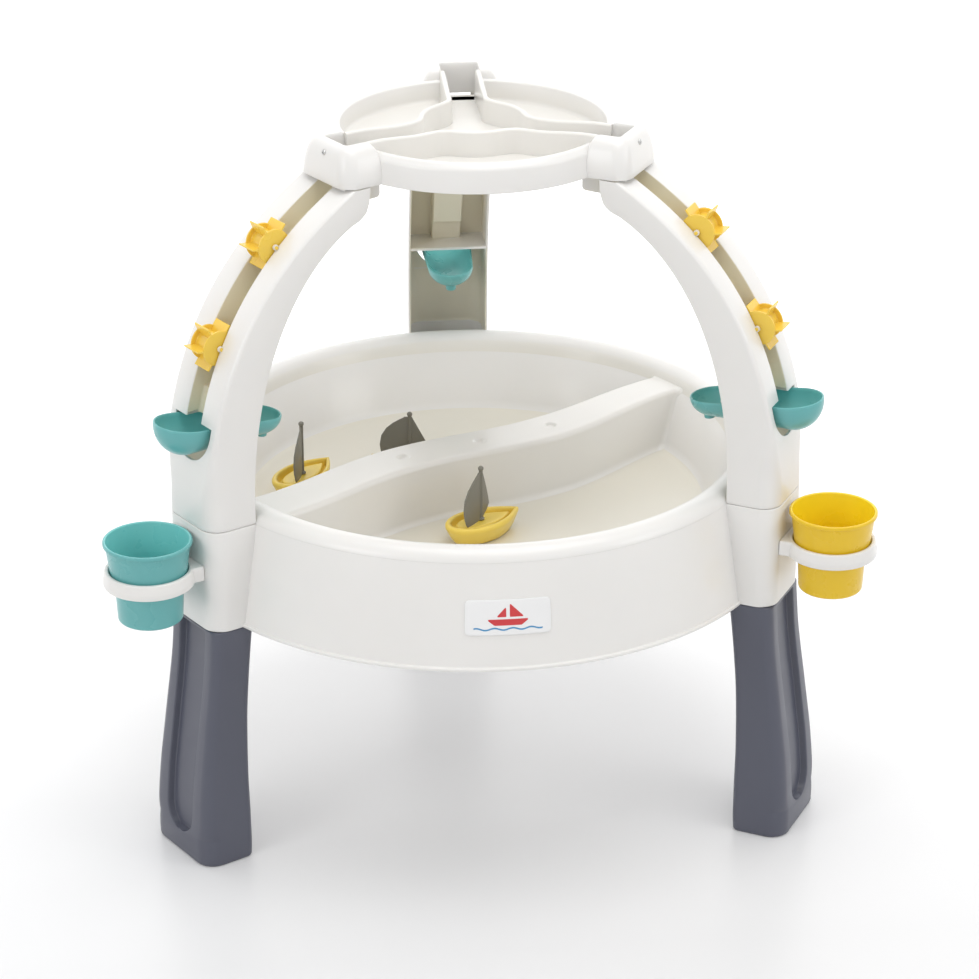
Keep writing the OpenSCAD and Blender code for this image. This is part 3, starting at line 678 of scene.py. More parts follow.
@dataclass
class Tub:
    """The tub: shell, divider and the three columns outside its wall."""

    layout: Layout
    floor_z: float = 338.0
    base_z: float = 290.0
    rim_z: float = 412.0
    foot_r: float = 357.0
    top_r: float = 338.0
    rim_r: float = 18.28
    rim_mid: float = 320.5
    rim_cz: float = 406.72
    wall: float = 3.5
    divider_top: float = 410.0
    divider_half: float = 33.0
    swing: float = 12.0
    wave: float = 390.0
    flare: float = 9.0
    divider_turn: float = 30.0
    dimples: tuple[float, ...] = (-93.0, 7.0, 103.0)

    def wall_r(self, z: Array) -> Array:
        """Radius of the outer wall: it narrows evenly from foot to rim."""
        return self.foot_r - (self.foot_r - self.top_r) * (z - self.base_z) / (self.rim_z - self.base_z)

    def basin_r(self, z: Array) -> Array:
        """Radius of the basin's wall above its rounded foot."""
        return 279.9 + (z - 350.0) * 23.1 / 62.0

    def section(self) -> Array:
        """Draw the shell's section: over the basin and the rim and back underneath.

        Returns:
            (n, 2) points as radius and height. The rim is an arc of a circle, and
            the wall, the lip and the underside are straight lines with rounded
            corners.
        """
        def arc(r: float, a0: float, a1: float) -> Array:
            """Read the rim's arc of radius r from the angle a0 to a1."""
            a = np.radians(np.linspace(a0, a1, 19))
            return np.stack([self.rim_mid + r * np.cos(a), self.rim_cz + r * np.sin(a)], -1)

        floor, base = self.floor_z, self.base_z
        below = floor - self.wall
        upper = fillet([(0, floor), (150, floor), (275.4, floor), (self.basin_r(400.0), 400)],
                       [0, 0, 17, 0], closed=False, steps=8)
        lip = fillet([(self.wall_r(410.2), 410.2), (self.wall_r(294.2), 294.2), (LIP_R, base + 4),
                      (LIP_R, base), (LIP_R - 6, base), (self.wall_r(400.0) - self.wall, 400)],
                     [0, 1.5, 1.4, 1.2, 0.8, 0], closed=False, steps=4)
        under = fillet([(self.basin_r(400.0) - 3.7, 400), (271.8, below), (150, below), (0, below)],
                       [0, 20, 0, 0], closed=False, steps=8)
        groove = np.array([[338.1, 411.6], [337.9, 411.0]])
        return np.vstack([upper, arc(self.rim_r, 163.3, 16.7), groove, lip,
                          arc(self.rim_r - self.wall, 12, 168), under])

    def shell(self, skin: Skin) -> None:
        """Turn the section; the basin's part of it takes painted shade, strongest low in the basin.

        Args:
            skin: the skin that takes the patch.
        """
        s = self.section()
        inside = (np.arange(len(s)) < 30) & (s[:, 0] < 306)
        # painted shade inside the basin: 0.5 low down, easing to 0.15 at the rim
        wash = np.where(inside, 0.5 - 0.35 * ease(s[:, 1], 385.0, 418.0), 0.0)
        skin.grid(self.layout.world(revolve(s, 288)), cols=True, wash=wash[:, None])

    def divider(self, skin: Skin) -> None:
        """The S-shaped divider.

        Its middle line is a sine wave across the tub. A cross-section with a
        hollow fillet at the foot and rounded shoulders runs along it, and flares
        along a quarter circle where it meets the basin's wall. The top has
        shallow round dimples.

        Args:
            skin: the skin that takes the patch.
        """
        half = self.divider_half
        side = fillet([(-half - 15, 337.6), (-half - 1.2, 337.9), (-half, self.divider_top),
                       (0, self.divider_top)], [0, 9, 6.5, 0], closed=False, steps=9)
        top = np.linspace(-(half - 7.0), 0, 26)[1:]
        side = np.vstack([side[:-1], np.stack([top, np.full(25, self.divider_top)], -1)])
        q = np.vstack([side, (side * [-1, 1])[::-1][1:]])
        u = np.linspace(-1.0, 1.0, 420)[:, None]
        z = q[None, :, 1]
        f = self.flare
        reach = self.basin_r(np.maximum(z, 345.0)) + 1.5 - f * (1 - ease(z, 336.0, 350.0))
        s = u * reach
        narrow = 8.0 * np.clip((s - 100.0) / 180.0, 0.0, 1.0)
        into = np.clip((np.abs(s) - (reach - 1.5 - f)) / f, 0.0, 1.0)
        flare = f * (1.0 - np.sqrt(1.0 - np.minimum(into, 0.999) ** 2))
        across = q[None, :, 0] * (1.0 - narrow / half) + np.sign(q[None, :, 0]) * flare * np.minimum(
            1.0, np.abs(q[None, :, 0]) / 20.0)
        t = across - self.swing * np.sin(2 * np.pi * s / self.wave)
        height = z + 0 * s
        for at in self.dimples:
            mid = -self.swing * math.sin(2 * math.pi * at / self.wave)
            d = np.hypot(s - at, t - mid)
            height = height - np.where(z > 405.0, 2.4 * (1 - ease(d, 4.0, 8.0)), 0.0)
        a = math.radians(self.divider_turn)
        x = s * math.cos(a) - t * math.sin(a)
        y = s * math.sin(a) + t * math.cos(a)
        p = self.layout.world(np.stack([x, y, height], -1))
        under = p.copy()
        under[..., 2] = 336.5
        # faint painted shade over the whole divider
        skin.grid(np.concatenate([p, under[:, ::-1]], 1), cols=True, wash=0.1)

    def column(self, skin: Skin, side: Side) -> None:
        """Add a column: a rounded tube with softened lips at both ends.

        Args:
            skin: the skin that takes the patch.
            side: the column's arm.
        """
        low, high, wall = self.base_z, self.rim_z, self.wall
        lips = fillet([(0, low), (0, high), (wall, high), (wall, low)], [1.3] * 4, steps=3)
        rings = []
        for inset, z in lips:
            rings.append(np.column_stack([slab_plan(334, 393, 50, 0.5, 22, inset), np.full(40, z)]))
        skin.grid(self.layout.arm(side, np.array(rings)), rows=True, cols=True)

    def build(self, palette: Palette) -> None:
        """Make the tub.

        Args:
            palette: the finishes.
        """
        skin = Skin()
        self.shell(skin)
        self.divider(skin)
        for side in Side:
            self.column(skin, side)
        publish(skin, "tub_shell", "tub", palette.shell)


# ------------------------------------------------------------------ legs


@dataclass
class Leg:
    """A leg: a flared box with rounded corners and a long recess outside."""

    layout: Layout
    side: Side
    heights: tuple[float, ...] = (0, 14, 61, 100, 138, 177, 200, 237, 289.6)
    outer: tuple[float, ...] = (420, 421, 418.5, 415, 409.5, 404, 400.5, 395.5, 391.5)
    inner: tuple[float, ...] = (357, 356, 355.2, 355.2, 354, 352, 350, 345.8, 339)
    half: tuple[float, ...] = (59.5, 60, 57.5, 55.5, 54, 52.3, 51.5, 50, 48.5)

    def profile(self, values: tuple[float, ...], z: Array) -> Array:
        """Read one of the leg's lines at z, as the mean over 24 mm.

        Args:
            values: the line's places at the leg's heights.
            z: where to read it.

        Returns:
            The line's place at each z.
        """
        near = np.linspace(-12, 12, 9)
        return np.interp(z[:, None] + near, self.heights, values).mean(1)

    def rings(self) -> Array:
        """Draw the outlines from the ground up, with the recess in the outer side.

        The recess is 8 deep and 54 wide. Its foot is half a circle, so its width
        follows the circle's chord there.

        Returns:
            (rings, points, 3) points as u, v, z.
        """
        z = np.unique(np.r_[0, 0.5, 1.6, 3.4, np.linspace(5, 27, 8), np.linspace(28, 56, 22),
                            np.linspace(60, 280, 45), np.linspace(282, 288.4, 6), 289.2, 289.6])
        x1, x0, h = (self.profile(v, z) for v in (self.outer, self.inner, self.half))
        edge = 2.6 * (1 - np.sqrt(np.clip(1 - (1 - np.clip(z / 3.4, 0, 1)) ** 2, 0, 1)))
        edge = edge + 0.9 * ease(z, 288.3, 289.6)
        w = np.where(z < 56, 27 * np.sqrt(np.clip(1 - ((56 - z) / 28.5) ** 2, 0.012, 1)), 27.0)
        d = 8.0 * ease(z, 27.6, 31.0) * (1 - ease(z, 284.0, 286.0))
        out = []
        for k in range(len(z)):
            a, b, c = x0[k] + edge[k], x1[k] - edge[k], h[k] - edge[k]
            e = min(2.0, w[k] * 0.5)
            plan = fillet([(a, -c), (b, -c), (b, -w[k]), (b - d[k], e - w[k]), (b - d[k], w[k] - e),
                           (b, w[k]), (b, c), (a, c)], [8, 21, 2.2, 1.8, 1.8, 2.2, 21, 8], steps=6)
            out.append(np.column_stack([plan, np.full(len(plan), z[k])]))
        return np.array(out)

    def build(self, palette: Palette) -> None:
        """Make the leg.

        Args:
            palette: the finishes.
        """
        skin = Skin().solid(self.layout.arm(self.side, self.rings()))
        name = self.side.word
        publish(skin, f"leg_{name}_moulding", f"leg_{name}", palette.leg)


# ------------------------------------------------------------------ arches


# Control points of an arch's outer line, in (u, z)
ARCH_LINE = np.array([(222, 757), (356, 668), (393, 542), (393, 412.4)], float)


@dataclass
class Arch:
    """An arch: two flanks and a face, with an open trough and a bowl's gate."""

    layout: Layout
    side: Side
    half: float = 50.0
    wall: float = 3.0
    tray_z: float = 773.6
    shelf_z: float = 533.0
    foot_z: float = 412.5
    gate_z: float = 525.0
    gate_half: float = 37.0
    ear_r: float = 3.3

    def outlines(self) -> tuple[Array, Array]:
        """Draw the dense outer and inner outlines, each a cubic curve.

        Returns:
            The two outlines in (u, z), from the top down.
        """
        outer = cubic(np.array([*ARCH_LINE[:3], (393, self.foot_z)]), np.linspace(-0.06, 1.0, 400))
        inner = cubic(np.array([(198, 734), (275, 693), (334, 587), (334, 430)], float),
                      np.linspace(0.02, 1.0, 300))
        head = fillet([(174, self.tray_z), (175.2, 757), (179.5, 745), (188, 738), (200, 733.2)],
                      [0, 9, 7, 7, 0], closed=False, steps=6)
        return outer, np.vstack([head, inner, [(334, self.foot_z)]])

    def at_height(self, line: Array, z: Array) -> Array:
        """Read an outline's u at the heights z."""
        return np.interp(-np.asarray(z), -line[:, 1], line[:, 0])

    def centre(self, spot: Spot) -> tuple[float, float]:
        """Find a water wheel's centre: a point of the outer curve moved outwards.

        Args:
            spot: which wheel of the arch.

        Returns:
            The centre's u and z.
        """
        t, out = spot.value, 2.5 if spot is Spot.UPPER else 1.0
        here = cubic(ARCH_LINE, [t])[0]
        step = np.diff(cubic(ARCH_LINE, [t - 1e-4, t + 1e-4]), axis=0)[0]
        way = np.array([-step[1], step[0]]) / np.linalg.norm(step)
        return tuple(here + out * way)

    def upper(self, skin: Skin) -> None:
        """The part with the trough.

        A closed section, drawn in (v, depth), is carried along pairs of points
        at equal shares of the outer and inner outlines.

        Args:
            skin: the skin that takes the patch.
        """
        outer, inner = self.outlines()
        end = self.shelf_z - 0.1
        top_o, top_i = (np.vstack([line[line[:, 1] > end], [(self.at_height(line, end), end)]])
                        for line in (outer, inner))
        share = np.unique(np.r_[np.linspace(0, 1, 74), np.linspace(0.885, 0.905, 6)])
        o, i = along(top_o, share), along(top_i, share)
        deep = np.linalg.norm(i - o, axis=1)
        way = (i - o) / deep[:, None]
        fall = 30.2 - 12.7 * ease(share, 0.888, 0.902)
        h, w = self.half, self.wall
        rings, painted_shading_rows = [], []
        for k in range(len(share)):
            d, f = deep[k], fall[k]
            corners = [(h, d), (h, 0), (15, 0), (15, f), (-15, f), (-15, 0), (-h, 0), (-h, d),
                       (-h + w, d), (-h + w, w), (-18, w), (-18, f + 2.5), (18, f + 2.5), (18, w),
                       (h - w, w), (h - w, d)]
            radii = [1.2, 5, 1.8, 3, 3, 1.8, 5, 1.2, 1.2, 2.5, 1.2, 2, 2, 1.2, 2.5, 1.2]
            q = fillet(corners, radii, steps=4)
            u = o[k, 0] + way[k, 0] * q[:, 1]
            z = o[k, 1] + way[k, 1] * q[:, 1]
            rings.append(np.stack([u, q[:, 0], z], -1))
            n = np.arange(len(corners)).repeat(5)
            # painted shade: full in the trough, 0.85 on the faces inside the hollow, none on outer faces
            tone = np.where((n >= 2) & (n <= 5), 1.0, np.where(n >= 9, 0.85, 0.0))
            painted_shading_rows.append(np.where(q[:, 1] > 0.8, tone, 0.0))
        skin.solid(self.layout.arm(self.side, np.array(rings)), wash=np.array(painted_shading_rows))

    def gate(self, skin: Skin) -> None:
        """Add the stretch beside the bowl.

        Two cheeks leave a gate between them. Its foot is half a circle, so its
        half width follows a cosine and its depth a sine.

        Args:
            skin: the skin that takes the patches.
        """
        outer, inner = self.outlines()
        turn = np.radians(np.linspace(0, 90, 20))
        z = np.r_[np.linspace(self.shelf_z, self.gate_z + 1, 8),
                  self.gate_z - self.gate_half * np.sin(turn)]
        open_half = np.r_[np.full(8, self.gate_half), self.gate_half * np.cos(turn)]
        x1, x0 = self.at_height(outer, z), self.at_height(inner, z)
        for flip in (1.0, -1.0):
            rings = []
            for k in range(len(z)):
                g = max(open_half[k], 0.01)
                d, h, w = x1[k] - x0[k], self.half, self.wall
                r = 5.0 + 8.0 * float(ease(np.array(self.shelf_z - z[k]), 0.0, 52.0))
                e = min(1.2, g)
                q = fillet([(h, d), (h, 0), (g, 0), (g, w), (h - w, w), (h - w, d)],
                           [1.2, r, e, e, max(r - w, 1), 1.2], steps=7)
                rings.append(np.stack([x1[k] - q[:, 1], flip * q[:, 0], np.full(len(q), z[k])], -1))
            rings = np.array(rings)
            # painted shade on the faces inside the cheeks
            wash = np.where(np.arange(rings.shape[1]) // 8 >= 3, 0.7, 0.0)[None, :] + 0 * rings[..., 0]
            skin.solid(self.layout.arm(self.side, rings), wash=wash)

    def lower(self, skin: Skin) -> None:
        """Add the closed stretch below the gate; its corners widen to the column's.

        Args:
            skin: the skin that takes the patch.
        """
        outer, inner = self.outlines()
        low = self.gate_z - self.gate_half
        z = np.unique(np.r_[np.linspace(low, self.foot_z + 2, 26), self.foot_z + 0.8, self.foot_z])[::-1]
        x1, x0 = self.at_height(outer, z), self.at_height(inner, z)
        rings = []
        for k in range(len(z)):
            lip = 1.0 * float(1 - ease(np.array(z[k]), self.foot_z - 0.1, self.foot_z + 1.4))
            h, w = self.half - lip, self.wall
            a, d = x1[k] - lip, x1[k] - x0[k] - lip
            r = 13.0 + 9.0 * float(ease(np.array(low - z[k]), 0.0, 45.0))
            q = fillet([(h, d), (h, 0), (-h, 0), (-h, d),
                        (-h + w, d), (-h + w, w), (h - w, w), (h - w, d)],
                       [1.2, r, r, 1.2, 1.2, r - w, r - w, 1.2], steps=7)
            rings.append(np.stack([a - q[:, 1], q[:, 0], np.full(len(q), z[k])], -1))
        rings = np.array(rings)
        n = np.arange(rings.shape[1]) // 8
        # painted shade on the faces inside the closed stretch
        wash = np.where(n >= 4, 0.7, 0.0)[None, :] + 0 * rings[..., 0]
        skin.solid(self.layout.arm(self.side, rings), wash=wash)

    def block(self, skin: Skin, plan: Array, z0: float, z1: float, wash: float = 0.6) -> None:
        """Add a flat plate.

        Args:
            skin: the skin that takes it.
            plan: its outline in (u, v).
            z0: its underside.
            z1: its top.
            wash: how much painted shade it takes.
        """
        plan = np.asarray(plan, float)
        rings = np.array([np.column_stack([plan, np.full(len(plan), z)]) for z in (z0, z1)])
        skin.solid(self.layout.arm(self.side, rings), wash=wash)

    def bar(self, skin: Skin, side_plan: Array, v0: float, v1: float, wash: float = 0.0) -> None:
        """Add a bar that runs across the arm.

        Args:
            skin: the skin that takes it.
            side_plan: its section in (u, z).
            v0: one end.
            v1: the other end.
            wash: how much painted shade it takes.
        """
        p = np.asarray(side_plan, float)
        rings = np.array([np.stack([p[:, 0], np.full(len(p), v), p[:, 1]], -1) for v in (v0, v1)])
        skin.solid(self.layout.arm(self.side, rings), wash=wash)

    def fittings(self, skin: Skin) -> None:
        """Add the shelf over the bowl, the lug and hanger under the tray, and the ears.

        Args:
            skin: the skin that takes them.
        """
        outer, _ = self.outlines()
        edge = float(self.at_height(outer, np.array([self.shelf_z]))[0])
        out, notch, across = edge - 1.5, edge - 20, 47.2
        # the shelf takes the block's default painted shade
        self.block(skin, [(323, -across), (out, -across), (out, -15), (notch, -15),
                          (notch, 15), (out, 15), (out, across), (323, across)],
                   self.shelf_z, self.shelf_z + 3)
        top = self.tray_z - 0.2
        lug = fillet([(141, top), (141, 748), (162, 747), (183, 745), (183, top)],
                     [1, 4, 3, 2, 1], steps=3)
        # painted shade on the lug under the tray
        self.bar(skin, lug, -18, 18, wash=0.6)
        for v in (-37, 16):
            self.bar(skin, [(195, 764), (200, 764), (200, 795), (195, 795)], v, v + 21)
        self.bar(skin, [(195, 785), (200, 785), (200, 795), (195, 795)], -17, 17)
        for spot in Spot:
            u, z = self.centre(spot)
            a = np.linspace(0, 2 * np.pi, 28, endpoint=False)
            ear = np.stack([u + self.ear_r * np.cos(a), z + self.ear_r * np.sin(a)], -1)
            for v in (-18, 15.2):
                self.bar(skin, ear, v, v + 2.8)

    def build(self, palette: Palette) -> None:
        """Make the arch.

        Args:
            palette: the finishes.
        """
        skin = Skin()
        self.upper(skin)
        self.gate(skin)
        self.lower(skin)
        self.fittings(skin)
        name = self.side.word
        publish(skin, f"arch_{name}_moulding", f"arch_{name}", palette.shell)


@dataclass
class Wheel:
    """A water wheel: two cheeks, a hollow drum and six scooped paddles."""

    arch: Arch
    spot: Spot
    reach: float = 28.0
    cheek: float = 20.0
    drum: float = 14.0
    width: float = 28.0
    paddles: int = 6

    def place(self, p: Array) -> Array:
        """Put points of the wheel across the trough.

        Args:
            p: points, two places in the wheel's plane and one along its axle.

        Returns:
            The points in the frame.
        """
        u, z = self.arch.centre(self.spot)
        q = np.stack([u + p[..., 0], -p[..., 2], z + p[..., 1]], -1)
        return self.arch.layout.arm(self.arch.side, q)

    def cheeks(self, skin: Skin) -> None:
        """Add the drum with its two cheeks, a section turned about the axle.

        Args:
            skin: the skin that takes the patch.
        """
        h = self.width / 2
        section = fillet([(2.1, -h), (self.cheek, -h), (self.cheek, 2.2 - h), (self.drum, 2.2 - h),
                          (self.drum, h - 2.2), (self.cheek, h - 2.2), (self.cheek, h), (2.1, h)],
                         [0.5, 0.9, 0.9, 1.2, 1.2, 0.9, 0.9, 0.5], steps=4)
        a = np.linspace(0, 2 * np.pi, 72, endpoint=False)
        r, z = section[:, :1], section[:, 1:]
        turned = np.stack([r * np.cos(a), r * np.sin(a), z + 0 * a], -1)
        skin.grid(self.place(turned), rows=True, cols=True)

    def blades(self, skin: Skin) -> None:
        """Add the paddles: thin plates whose tips sweep back by a square law.

        Args:
            skin: the skin that takes the patches.
        """
        h, r = self.width / 2 - 0.15, np.linspace(self.drum - 1, self.reach - 0.4, 9)
        back = 1.2 * ((r - self.drum) / (self.reach - self.drum)).clip(0, 1) ** 2
        thick = np.linspace(1.25, 0.85, 9)
        plan = np.vstack([np.stack([r, back - thick], -1), [(self.reach - 0.05, back[-1] - 0.3)],
                          [(self.reach - 0.05, back[-1] + 0.3)], np.stack([r, back + thick], -1)[::-1]])
        for k in range(self.paddles):
            a = 2 * math.pi * k / self.paddles
            x = plan[:, 0] * math.cos(a) - plan[:, 1] * math.sin(a)
            y = plan[:, 0] * math.sin(a) + plan[:, 1] * math.cos(a)
            rings = [np.stack([x, y, np.full(len(x), v)], -1) for v in (-h, 0.6 - h, h - 0.6, h)]
            skin.solid(self.place(np.array(rings)))

    def build(self, palette: Palette) -> None:
        """Make the wheel.

        Args:
            palette: the finishes.
        """
        skin = Skin()
        self.cheeks(skin)
        self.blades(skin)
        name = f"{self.arch.side.word}_{self.spot.name.lower()}"
        publish(skin, f"wheel_{name}_moulding", f"wheel_{name}", palette.wheel)


@dataclass
class Bowl:
    """A scoop through the arch's gate, deep outside and shallow inside."""

    layout: Layout
    side: Side
    u: float = 350.0
    z: float = 526.0
    lean: float = 6.9
    outer: tuple[float, float, float] = (43.5, 33.5, 35.0)
    inner: tuple[float, float, float] = (-52.0, 28.0, 23.0)
    wall: float = 2.4

    def place(self, p: Array) -> Array:
        """Lean points of the scoop inwards and put them in the arch.

        Args:
            p: points about the middle of the scoop's rim.

        Returns:
            The points in the frame.
        """
        a = math.radians(self.lean)
        u = self.u + p[..., 0] * math.cos(a) - p[..., 2] * math.sin(a)
        z = self.z + p[..., 0] * math.sin(a) + p[..., 2] * math.cos(a)
        return self.layout.arm(self.side, np.stack([u, p[..., 1], z], -1))

    def ring(self, inset: float, down: float, lift: float = 0.0) -> Array:
        """Draw one level of the scoop.

        Args:
            inset: how far inside the outer skin, in millimetres.
            down: angle below the rim, 0 at the rim and 90 at the keel.
            lift: how far above the rim.

        Returns:
            (n, 3) points: an arc about each end, joined by straight sides. The
            radius falls with the cosine of the angle and the depth grows with
            its sine.
        """
        g = math.radians(down)
        (xo, ro, do), (xi, ri, di) = self.outer, self.inner
        lead = math.asin((ro - ri) / (xo - xi))
        a = np.linspace(-math.pi / 2 - lead, math.pi / 2 + lead, 33)
        b = np.linspace(math.pi / 2 + lead, 3 * math.pi / 2 - lead, 29)
        ends = []
        for x, r, d, t in ((xo, ro, do, a), (xi, ri, di, b)):
            k = (r - inset) * math.cos(g)
            ends.append(np.stack([x + k * np.cos(t), k * np.sin(t),
                                  np.full(len(t), lift - (d - inset) * math.sin(g))], -1))
        side = np.linspace(0, 1, 12)[1:-1, None]
        there = ends[0][-1] * (1 - side) + ends[1][0] * side
        back = ends[1][-1] * (1 - side) + ends[0][0] * side
        return np.vstack([ends[0], there, ends[1], back])

    def build(self, palette: Palette) -> None:
        """Make the scoop with its rolled lip and drain.

        Args:
            palette: the finishes.
        """
        down = list(np.linspace(90, 0, 19))
        rings = [self.ring(0, g) for g in down]
        rings += [self.ring(0.35, 0, 0.9), self.ring(1.2, 0, 1.3), self.ring(2.0, 0, 0.9)]
        rings += [self.ring(self.wall, g) for g in down[::-1]]
        inside = np.arange(len(rings)) >= len(down) + 3
        # painted light inside the scoop, stronger in the rear one, whose outside takes a little too
        tone = 0.8 if self.side is Side.REAR else 0.6
        wash = np.where(inside, tone, tone - 0.6)[:, None]
        skin = Skin().grid(self.place(np.array(rings)), cols=True, wash=wash)
        nub = fillet([(2.8, -18), (6.6, -18), (6.2, -27), (2.8, -27)], [0.3, 0.5, 1.2, 0.6], steps=4)
        skin.grid(self.place(revolve(nub, 36, (-60.0, 0.0))), rows=True, cols=True)
        tab = np.array([(13, -46), (25, -46), (25, 46), (13, 46)], float)
        rings = np.array([np.column_stack([tab, np.full(4, z)]) for z in (-7, -3.2)])
        for flip in (1, -1):
            part = rings.copy()
            part[..., 1] = flip * np.clip(part[..., 1] * flip, 30, 46)
            skin.solid(self.place(part))
        name = self.side.word
        publish(skin, f"bowl_{name}_moulding", f"bowl_{name}", palette.teal)


# ------------------------------------------------------------------ tray


@dataclass
class Tray:
    """The pouring tray: dish, middle cup, channels and the three blocks."""

    layout: Layout
    floor_z: float = 782.0
    top_z: float = 806.0
    wall: float = 3.0
    skirt_r: float = 168.0
    cup_r: float = 57.0
    channel: float = 19.0
    chute: float = 22.0
    chute_end: float = 186.5
    wall_z: float = 811.0

    def dish(self, skin: Skin) -> None:
        """The dish and its rim.

        The section is turned about the axis. Where a channel leaves, its rim is
        pressed down to the floor: heights above the floor are multiplied by a
        mask that is 0 within the channel.

        Args:
            skin: the skin that takes the patch.
        """
        top, floor, foot = self.top_z, self.floor_z, self.skirt_r
        below = floor - self.wall
        s = fillet([(0, floor), (100, floor), (149.3, floor), (150.6, top - 0.2), (157, top + 0.5),
                    (163.2, top - 6), (foot, 774), (foot - 3, 774), (159.5, top - 10),
                    (153.5, top - 10), (152.4, below), (100, below), (0, below)],
                   [0, 0, 5, 2.5, 4, 8, 1.2, 0.8, 2, 2, 1, 0, 0], closed=False, steps=6)
        edge = np.degrees(math.asin(self.channel / 155.0))
        a = []
        for side in Side:
            a += [side.value - 60 + k for k in np.linspace(0, 60 - edge - 1.2, 34)]
            a += [side.value + k for k in np.linspace(-edge - 1.0, -edge + 1.0, 9)]
            a += [side.value + k for k in np.linspace(1.4 - edge, edge - 1.4, 8)]
            a += [side.value + k for k in np.linspace(edge - 1.0, edge + 1.0, 9)]
            a += [side.value + k for k in np.linspace(edge + 1.2, 59.5, 34)]
        a = np.unique(np.mod(a, 360))
        off = np.min([np.abs((a - side.value + 180) % 360 - 180) for side in Side], 0)
        mask = ease(off, edge - 0.9, edge + 0.9)
        t = np.radians(a)
        r, z = s[:, :1], s[:, 1:]
        z = np.where(z > floor, floor + (z - floor) * mask, z + 0 * mask)
        p = np.stack([r * np.cos(t), r * np.sin(t), z], -1)
        # faint painted shade on the dish floor inside the rim
        skin.grid(self.layout.world(p), cols=True, wash=0.12 * (r[:, 0] < 150)[:, None] + 0 * z)

    def well_wall(self, skin: Skin, side: Side) -> None:
        """The soft wall between a well and its two channels and the middle cup.

        Its path runs in beside one channel, round the middle cup and out beside
        the next channel. A wall section with a round top is carried along it.

        Args:
            skin: the skin that takes the patch.
            side: the arm of the first channel.
        """
        c, r = self.channel + 2.0, self.cup_r + 2.0
        a0 = math.asin(c / r)
        turn = math.radians(120)
        arc = np.linspace(a0, turn - a0, 25)
        path = np.vstack([[(160.0, c)], [(110.0, c)], [(r * math.cos(a0) + 9, c)],
                          np.stack([r * np.cos(arc[3:-3]), r * np.sin(arc[3:-3])], -1)])
        ahead = np.array([(r * math.cos(a0) + 9, -c), (110.0, -c), (160.0, -c)])
        x = ahead[:, 0] * math.cos(turn) - ahead[:, 1] * math.sin(turn)
        y = ahead[:, 0] * math.sin(turn) + ahead[:, 1] * math.cos(turn)
        path = along(np.vstack([path, np.stack([x, y], -1)]), np.linspace(0, 1, 161))
        kernel = np.ones(9) / 9
        padded = np.pad(path, ((4, 4), (0, 0)), "edge")
        smooth = np.stack([np.convolve(padded[:, k], kernel, "valid") for k in (0, 1)], -1)
        smooth[:5], smooth[-5:] = path[:5], path[-5:]
        step = np.gradient(smooth, axis=0)
        step /= np.linalg.norm(step, axis=1)[:, None]
        normal = np.stack([-step[:, 1], step[:, 0]], -1)
        top = self.wall_z
        q = fillet([(-4.2, 781), (-3.0, top), (3.0, top), (4.2, 781)], [0.2, 2.9, 2.9, 0.2], steps=6)
        rise = 4.5 * ease(np.hypot(path[:, 0], path[:, 1]), 85.0, 150.0)[:, None]
        up = q[None, :, 1] + np.where(q[None, :, 1] > 790, rise, 0.0)
        p = np.concatenate([smooth[:, None] + normal[:, None] * q[None, :, :1], up[..., None]], -1)
        # faint painted shade on the well walls
        skin.solid(self.layout.arm(side, p), wash=0.1)

    def block(self, skin: Skin, side: Side) -> None:
        """A block over an arch, with a chute that is open at the top.

        The block is a shell whose plan is an oblong with a notch for the chute.
        Its rings run from the ceiling inside, down, round the lip and up outside.
        Above the shoulder the sides lean in along a rounded line to the roof.
        Each row gives how far the sides, the outer end, the inner end and the
        notch are moved in, and the height.

        Args:
            skin: the skin that takes the patches.
            side: the block's arm.
        """
        ceiling = [(14.4, 10.8, 8, 3, 812.3), (13.6, 10.2, 8, 3, 811), (11, 8.6, 6, 3, 806),
                   (7.6, 6.2, 4, 3, 798), (4.6, 4.2, 3, 3, 787)]
        lip = [(3, 3, 3, 3, 775.2), (2.6, 2.6, 2.6, 2.6, 774.3), (1.5, 1.5, 1.5, 1.5, 774.0),
               (0.5, 0.5, 0.5, 0.5, 774.3), (0, 0, 0, 0, 775.2)]
        outside = [(0.8, 0.5, 0, 0, 783), (2.4, 1.6, 0.2, 0, 791), (4.4, 3.0, 0.6, 0, 798),
                   (6.6, 4.6, 1.2, 0, 804), (9.0, 6.4, 2.0, 0, 809), (11.4, 8.2, 3.0, 0, 812.5),
                   (14.0, 10.2, 4.4, 0.2, 815.0), (17.0, 12.6, 6.0, 0.8, 816.5),
                   (20.0, 15.0, 8.0, 1.9, 817.0)]
        rings = []
        for sides, outer, inner, notch, z in ceiling + lip + outside:
            h, a, b = 50 - sides, 156 + inner, 207 - outer
            c, e = self.chute + notch, self.chute_end + notch
            corner = 20 - 0.45 * sides
            ring = fillet([(a, -h), (b, -h), (b, h), (a, h), (a, c), (e, c), (e, -c), (a, -c)],
                          [3, corner, corner, 3, 2.5, 3 + notch, 3 + notch, 2.5], steps=7)
            low = np.where((np.abs(ring[:, 1]) < self.chute + 3.4) & (ring[:, 0] < self.chute_end + 3.2),
                           max(z, 780.0), z)
            rings.append(np.column_stack([ring, low]))
        skin.solid(self.layout.arm(side, np.array(rings)))
        floor = fillet([(150, -21.5), (171, -21.5), (171, 21.5), (150, 21.5)], [0.5] * 4, steps=2)
        levels = (self.floor_z - self.wall, self.floor_z)
        rings = np.array([np.column_stack([floor, np.full(len(floor), z)]) for z in levels])
        # faint painted shade on the chute's floor
        skin.solid(self.layout.arm(side, rings), wash=0.12)

    def build(self, palette: Palette) -> None:
        """Make the tray.

        Args:
            palette: the finishes.
        """
        skin = Skin()
        self.dish(skin)
        for side in Side:
            self.well_wall(skin, side)
            self.block(skin, side)
        publish(skin, "top_tray_moulding", "top_tray", palette.shell)


# ------------------------------------------------------------------ cups


